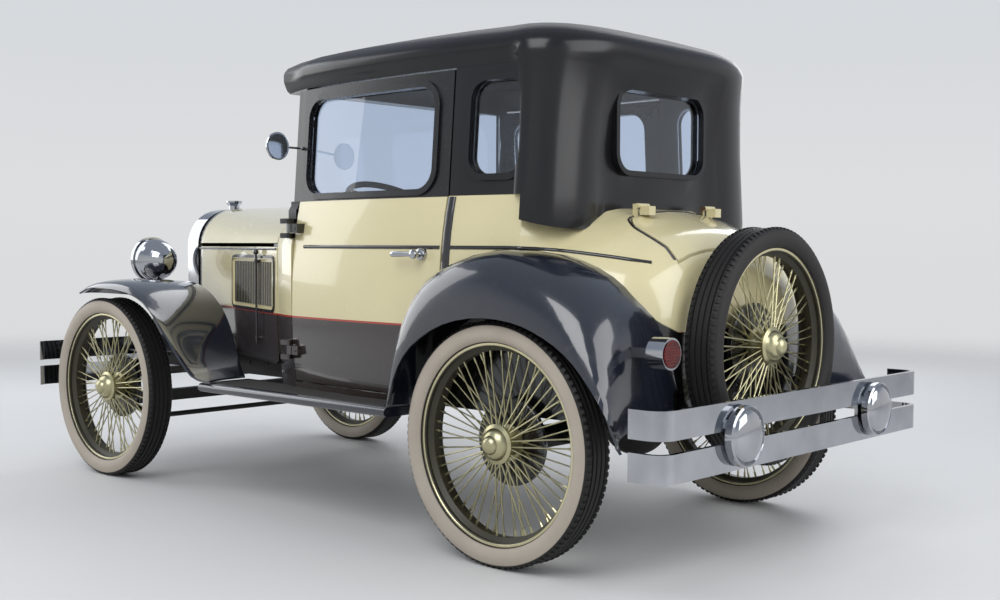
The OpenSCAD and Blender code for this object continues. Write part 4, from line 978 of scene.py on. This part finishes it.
def bolt_mesh(radius, height, axis):
    """A bolt head with a washer, standing on the origin along an axis."""
    axis = Vector(axis)
    work = bmesh.new()
    rod(work, -0.001 * axis, 0.25 * height * axis, 1.5 * radius, 20)
    rod(work, 0.2 * height * axis, 0.9 * height * axis, radius, 6)
    rod(work, 0.85 * height * axis, height * axis, 0.72 * radius, 16)
    return meshed("bolt", work)


# shares of the radius and of the height
DOME = ((1.0, -0.2), (1.0, 0.0), (0.92, 0.45), (0.66, 0.8), (0.28, 0.98))


def dome_mesh(radius, height, axis):
    """A domed rivet or screw head."""
    axis = Vector(axis)
    work = bmesh.new()
    skinned(work, [circle(height * high * axis, axis, radius * wide, 14) for wide, high in DOME])
    return meshed("rivet", work)


# the first of each row: along the car, across it and up, and the pitch of the row
BUMPER_BOLT, BUMPER_BOLT_PITCH = (-0.012, 0.325, 0.411), 0.114       # from the bumper's front
HINGE_SCREW, HINGE_SCREW_PITCH = (-0.045, 0.670, 0.617), 0.460       # from the door's front edge
RAIL_RIVET, RAIL_RIVET_PITCH = (-0.36, 0.385, 0.508), 0.125
RAIL_RIVETS, HEAD_BOLTS = 23, 9
HEAD_BOLT_Y, HEAD_Z = 0.085, 0.926
HEAD_ENDS = (0.040, 0.080)               # plain ends of the engine's head


def fasteners():
    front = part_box("front_bumper")
    bolts = []
    for side, hand in SIDES:
        x, y, z = BUMPER_BOLT
        bolts.append(repeated("front_bolts", ROW, bolt_mesh(0.009, 0.011, (1, 0, 0)), chrome, Count=2,
                              Start=(front[1][0] + x, side * y, z), Step=(0, 0, BUMPER_BOLT_PITCH)))
        x, y, z = HINGE_SCREW
        straps = repeated("hinge_screws", ROW, dome_mesh(0.005, 0.003, (0, side, 0)), steel, Count=2,
                          Start=(from_axle(DOOR_FRONT + x), side * y, z), Step=(0, 0, HINGE_SCREW_PITCH))
        piece("hinge_screws_" + hand, straps, "door_" + hand, steel)
        x, y, z = RAIL_RIVET
        rail = repeated("rail_rivets", ROW, dome_mesh(0.009, 0.006, (0, side, 0)), frame_black,
                        Count=RAIL_RIVETS, Start=(from_axle(x), side * y, z),
                        Step=(RAIL_RIVET_PITCH, 0, 0))
        piece("rail_rivets_" + hand, rail, "chassis", frame_black)
    piece("front_bumper_bolts", joined("front_bolts", bolts), "chassis", chrome)
    low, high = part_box("engine_block")
    pitch = (high[0] - low[0] - sum(HEAD_ENDS)) / (HEAD_BOLTS - 1)
    head = [repeated("head_bolts", ROW, bolt_mesh(0.009, 0.012, (0, 0, 1)), steel, Count=HEAD_BOLTS,
                     Start=(low[0] + HEAD_ENDS[0], y, HEAD_Z), Step=(pitch, 0, 0))
            for y in (-HEAD_BOLT_Y, HEAD_BOLT_Y)]
    piece("head_bolts", joined("head_bolts", head), "chassis", steel)


RIBS, RIB_PITCH, FIRST_RIB_Y = 15, 0.0115, 0.590
RIB_END = 0.05
RIB_SECTION = [(0.0035 * math.cos(t), 0.0024 * math.sin(t)) for t in run(0.0, math.pi, 7)]


def board_mats():
    """Ribbed rubber along each running board."""
    low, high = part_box("running_boards")
    length = high[0] - low[0] - 2 * RIB_END
    for side, hand in SIDES:
        work = bmesh.new()
        skinned(work, [[(x, y, z) for y, z in RIB_SECTION] for x in (0.0, length)])
        ribs = repeated("ribs", ROW, meshed("rib", work), mat, Count=RIBS,
                        Start=(low[0] + RIB_END, side * FIRST_RIB_Y, high[2]),
                        Step=(0, side * RIB_PITCH, 0))
        piece("board_mat_" + hand, ribs, "chassis", mat)


DIALS_Y, DIALS_Z = (-0.105, 0.0, 0.105), 1.070
BEZEL = [(0.0440, -0.002), (0.0440, 0.004), (0.0415, 0.0085), (0.0375, 0.0085), (0.0355, 0.004),
         (0.0355, -0.002)]
DIAL_DISC = [(0.0360, 0.0005), (0.0360, 0.0024), (0.0005, 0.0028)]
DIAL_MARKS = 24
# place along the dial's axis, place across
MARK_SECTION = ((0.0024, -0.0007), (0.0024, 0.0007), (0.0034, 0.0007), (0.0034, -0.0007))
MARK_SPAN = (0.027, 0.033)
# radius, half width
HAND_ENDS = ((-0.006, 0.0016), (0.024, 0.0005))
HAND_LIFT = (0.0032, 0.0042)


def dials():
    """Three dials on the dashboard: bezel, face, marks and a hand."""
    face_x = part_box("dashboard")[0][0]
    turn = Matrix.Rotation(math.pi / 2, 4, "Z")
    bezels, faces, marks = [], [], []
    for y in DIALS_Y:
        put = Matrix.Translation((face_x, y, DIALS_Z)) @ turn
        bezels.append(placed(revolved("bezel", BEZEL, 48, closed=True), put))
        faces.append(placed(revolved("disc", DIAL_DISC, 40), put))
        work = bmesh.new()
        skinned(work, [[(radius, along, across) for along, across in MARK_SECTION]
                       for radius in MARK_SPAN])
        marks.append(placed(repeated("marks", RING, meshed("mark", work), black_paint,
                                     Count=DIAL_MARKS, Axis=(0, 1, 0), Centre=(0, 0, 0)), put))
        hand = bmesh.new()
        low, high = HAND_LIFT
        skinned(hand, [[(radius, low, -half), (radius, low, half), (radius, high, half),
                        (radius, high, -half)] for radius, half in HAND_ENDS])
        marks.append(placed(meshed("hand", hand), put))
    piece("dial_bezels", joined("dial_bezels", bezels), "chassis", chrome)
    piece("dial_faces", joined("dial_faces", faces), "chassis", dial_face)
    piece("dial_marks", joined("dial_marks", marks), "chassis", black_paint)


# Upholstery

PLEAT_PITCH, PLEAT_DEEP, PLEAT_HALF = 0.092, 0.010, 0.009


def pleat(y):
    """Depth share of the nearest sewn channel across the seat."""
    gap = abs((y / PLEAT_PITCH) % 1.0 - 0.5) * PLEAT_PITCH
    return math.exp(-((PLEAT_PITCH / 2 - gap) / PLEAT_HALF) ** 2)


def changed(mesh, kind, **settings):
    """The mesh after one modifier."""
    host = added("pad", mesh)
    change = host.modifiers.new("change", kind)
    for key, value in settings.items():
        setattr(change, key, value)
    made = evaluated_mesh(host)
    bpy.data.objects.remove(host)
    return made


PAD_VOXEL = 0.012
PAD_CAP = 0.024
PAD_FRAMES = 20
PAD_PRESSURE = 4.0
PAD_SHRINK = (0.93, 0.975, 0.94, 1)      # room for the filling
PAD_INSET = 0.001                        # pads stay this far inside the CAD solid's box


def filled(mesh):
    """Cloth blown up a little by its stuffing; no point moves further than the cap."""
    scene = bpy.context.scene
    host = added("pad", mesh)
    cloth = host.modifiers.new("stuffing", "CLOTH")
    cloth.settings.use_pressure = True
    cloth.settings.uniform_pressure_force = PAD_PRESSURE
    cloth.settings.effector_weights.gravity = 0.0
    cloth.point_cache.frame_start = 1
    cloth.point_cache.frame_end = PAD_FRAMES
    for number in range(1, PAD_FRAMES + 1):
        scene.frame_set(number)
    swollen = evaluated_mesh(host)
    for old, new in zip(mesh.vertices, swollen.vertices):
        move = new.co - old.co
        if move.length > PAD_CAP:
            new.co = old.co + move * (PAD_CAP / move.length)
    scene.frame_set(1)
    bpy.data.objects.remove(host)
    return swollen


def pad(node, sits):
    """A sewn cushion in the CAD solid's place; sits(point) is 1 where it shows and 0 where it rests."""
    low, high = (Vector(corner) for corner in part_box(node))
    centre = (low + high) / 2
    mesh = merged(node)
    mesh.transform(Matrix.Translation(centre) @ Matrix.Diagonal(PAD_SHRINK)
                   @ Matrix.Translation(-centre))
    mesh = changed(mesh, "REMESH", mode="VOXEL", voxel_size=PAD_VOXEL)
    mesh = filled(mesh)
    mesh = changed(mesh, "SUBSURF", levels=1, render_levels=1)
    normals = [vertex.normal.copy() for vertex in mesh.vertices]
    for vertex, normal in zip(mesh.vertices, normals):
        vertex.co -= normal * (PLEAT_DEEP * pleat(vertex.co.y) * sits(vertex.co))
        for k in range(3):
            vertex.co[k] = min(max(vertex.co[k], low[k] + PAD_INSET), high[k] - PAD_INSET)
    made = piece(node + "_pad", mesh, "chassis", seat_hide, 60)
    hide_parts(node)


def step_up(value, low, high):
    share = min(max((value - low) / (high - low), 0.0), 1.0)
    return share * share * (3 - 2 * share)


# where the sewn channels fade in: over the cushion's foot, before the back's rear and under its top
CUSHION_RISE = (0.17, 0.23)
BACK_RISE, BACK_TOP = (0.03, 0.08), (0.07, 0.03)


def seats():
    low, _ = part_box("seat_cushion")
    pad("seat_cushion", lambda at: step_up(at.z, *(low[2] + rise for rise in CUSHION_RISE)))
    back_low, back_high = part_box("seat_back")
    pad("seat_back", lambda at: step_up(at.x, *(back_low[0] + rise for rise in BACK_RISE))
        * (1 - step_up(at.z, *(back_high[2] - under for under in BACK_TOP))))


CARD_X = (0.515, 1.060)
CARD_Z = (0.560, 1.140)
CARD_POINTS = (56, 44)                   # along and up
CARD_EDGE, CARD_FILL = 0.003, 0.007      # thickness at the edge, and what the filling adds
CREASE_AT, CREASE_HALF, CREASE_DEEP = 0.62, 0.018, 0.005
INSIDE = 0.30            # rays to the doors' inner faces start here
PULL_X, PULL_Z, PULL_HALF = 0.70, 1.085, 0.09


def card_lift(u, v):
    """Thickness of the padded card at shares of its length and height: thin edges, one long crease."""
    edge = min(u, 1 - u, 0.8 * v, 0.8 * (1 - v))
    crease = math.exp(-((v - CREASE_AT) / CREASE_HALF) ** 2)
    return CARD_EDGE + CARD_FILL * step_up(edge, 0.0, 0.06) - CREASE_DEEP * crease


def door_cards():
    """Padded leather over the inside of each door, with a piped edge and a pull strap."""
    for side, hand in SIDES:
        skin = skin_of("door_" + hand)
        across, up = CARD_POINTS
        grid = [[on_side(skin, from_axle(x), z, side, INSIDE, 1) for x in run(*CARD_X, across)]
                for z in run(*CARD_Z, up)]
        work = bmesh.new()
        rows = [[work.verts.new(place + normal * card_lift(i / (across - 1), k / (up - 1)))
                 for i, (place, normal) in enumerate(row)] for k, row in enumerate(grid)]
        under = [[work.verts.new(place - normal * 0.001) for place, normal in row] for row in grid]
        for sheet in (rows, under):
            for first, second in zip(sheet, sheet[1:]):
                for i in range(across - 1):
                    work.faces.new((first[i], first[i + 1], second[i + 1], second[i]))
        rim = [(0, i) for i in range(across)] + [(k, across - 1) for k in range(1, up)]
        rim += [(up - 1, i) for i in range(across - 2, -1, -1)] + [(k, 0) for k in range(up - 2, 0, -1)]
        for (k, i), (m, j) in zip(rim, rim[1:] + rim[:1]):
            work.faces.new((rows[k][i], rows[m][j], under[m][j], under[k][i]))
        body = "door_" + hand
        made = piece("door_card_" + hand, meshed("door_card", work), body, card_hide, 60)
        edge = [grid[k][i] for k, i in rim] + [grid[0][0]]
        piece("door_piping_" + hand, bead("door_piping", edge, 0.007, 0.006), body, seat_hide)
        x = from_axle(PULL_X)
        strap = [on_side(skin, x + shift, PULL_Z, side, INSIDE, 1)
                 for shift in run(-PULL_HALF, PULL_HALF, 13)]
        strap = [(place + normal * (0.006 + 0.020 * math.sin(math.pi * i / 12)), normal)
                 for i, (place, normal) in enumerate(strap)]
        pull = bead("door_pull", strap, 0.026, 0.006, 0.002)
        piece("door_pull_" + hand, pull, body, seat_hide)


for finish, (angle, nodes) in FINISHES.items():
    for node in nodes:
        dress(node, finish, angle)
wheels()
mouldings()
lid_seal()
door_fittings()
hood_latches()
fasteners()
board_mats()
dials()
seats()
door_cards()

# Floor, light and camera

CAMERA_AT = (-3.6758, 3.6122, 1.014)
CAMERA_YAW = 0.8295
CAMERA_PITCH = -0.0433
CAMERA_ROLL = 0.004
FOCAL_PX = 1250.0
PICTURE_PX = 1000.0
SENSOR = 36.0
# share of the way from straight down to straight up, colour of the studio's sweep
BACKDROP = [(0.0, (0.16, 0.15, 0.14, 1)), (0.36, (0.50, 0.50, 0.50, 1)), (0.46, (0.70, 0.705, 0.71, 1)),
            (0.52, (0.72, 0.73, 0.74, 1)), (0.63, (0.64, 0.67, 0.71, 1)), (0.74, (0.36, 0.41, 0.49, 1)),
            (1.0, (0.42, 0.46, 0.53, 1))]
FLOOR_REACH = 14.0
FLOOR_FADE = (7.5, 3.5)
# name, place, aim, side in metres, watts
LAMPS = (("key", (-2.2, 5.0, 5.2), (0.0, 0.0, 0.7), 4.2, 235.0),
         ("rear_fill", (-5.5, -1.0, 3.2), (-0.8, 0.0, 0.8), 4.0, 130.0),
         ("far_side", (2.5, -5.0, 4.0), (0.0, 0.0, 0.8), 5.0, 150.0),
         ("front_fill", (5.5, 2.0, 3.0), (0.8, 0.0, 0.8), 4.5, 125.0))


def floor_paint():
    """Pale floor that thins out into the background far from the object."""
    def varying(start, place):
        along, across, _ = start.axes(place)
        reach = along.hypot(across)
        cloud = start.noise(place, 0.7, 4.0)
        grit = start.noise(place, 30.0, 3.0)
        return {"Base Color": cloud.blend(tint(208, 207, 205), tint(216, 215, 213)),
                "Roughness": 0.55 + 0.1 * grit,
                "Alpha": 1 - reach.over(*FLOOR_FADE),
                "Normal": start.bump(grit, 0.02, 0.001)}
    return material("pale_floor", {"Specular IOR Level": 0.3}, varying)


def aimed(at, way):
    return Matrix.Translation(at) @ way.to_track_quat("-Z", "Y").to_matrix().to_4x4()


def studio():
    scene = bpy.context.scene
    scene.view_settings.view_transform = "Standard"
    lens = bpy.data.cameras.new("photo_camera")
    lens.sensor_width = SENSOR
    lens.lens = FOCAL_PX / PICTURE_PX * SENSOR
    camera = added("photo_camera", lens)
    ahead = Vector((math.cos(CAMERA_PITCH) * math.cos(CAMERA_YAW),
                    -math.cos(CAMERA_PITCH) * math.sin(CAMERA_YAW), math.sin(CAMERA_PITCH)))
    camera.matrix_world = aimed(CAMERA_AT, ahead) @ Matrix.Rotation(CAMERA_ROLL, 4, "Z")
    scene.camera = camera

    world = bpy.data.worlds.new("studio")
    scene.world = world
    world.use_nodes = True
    tree = world.node_tree
    start = Flow(tree)
    way = start.make("ShaderNodeTexCoord", out="Generated")
    high = start.axes(way)[2]
    sweep = start.make("ShaderNodeValToRGB", {"stops": BACKDROP}, {0: high * 0.5 + 0.5})
    background = tree.nodes["Background"]
    tree.links.new(sweep.socket, background.inputs["Color"])
    background.inputs["Strength"].default_value = 1.0

    for name, at, aim, size, watts in LAMPS:
        lamp = bpy.data.lights.new(name, "AREA")
        lamp.size = size
        lamp.energy = watts
        lit = added(name, lamp)
        lit.visible_transmission = False
        lit.matrix_world = aimed(at, Vector(aim) - Vector(at))

    mesh = bpy.data.meshes.new("studio_floor")
    reach = FLOOR_REACH
    mesh.from_pydata([(-reach, -reach, 0), (reach, -reach, 0), (reach, reach, 0), (-reach, reach, 0)],
                     [], [(0, 1, 2, 3)])
    ground = added("studio_floor", mesh)
    mesh.materials.append(floor_paint())


studio()
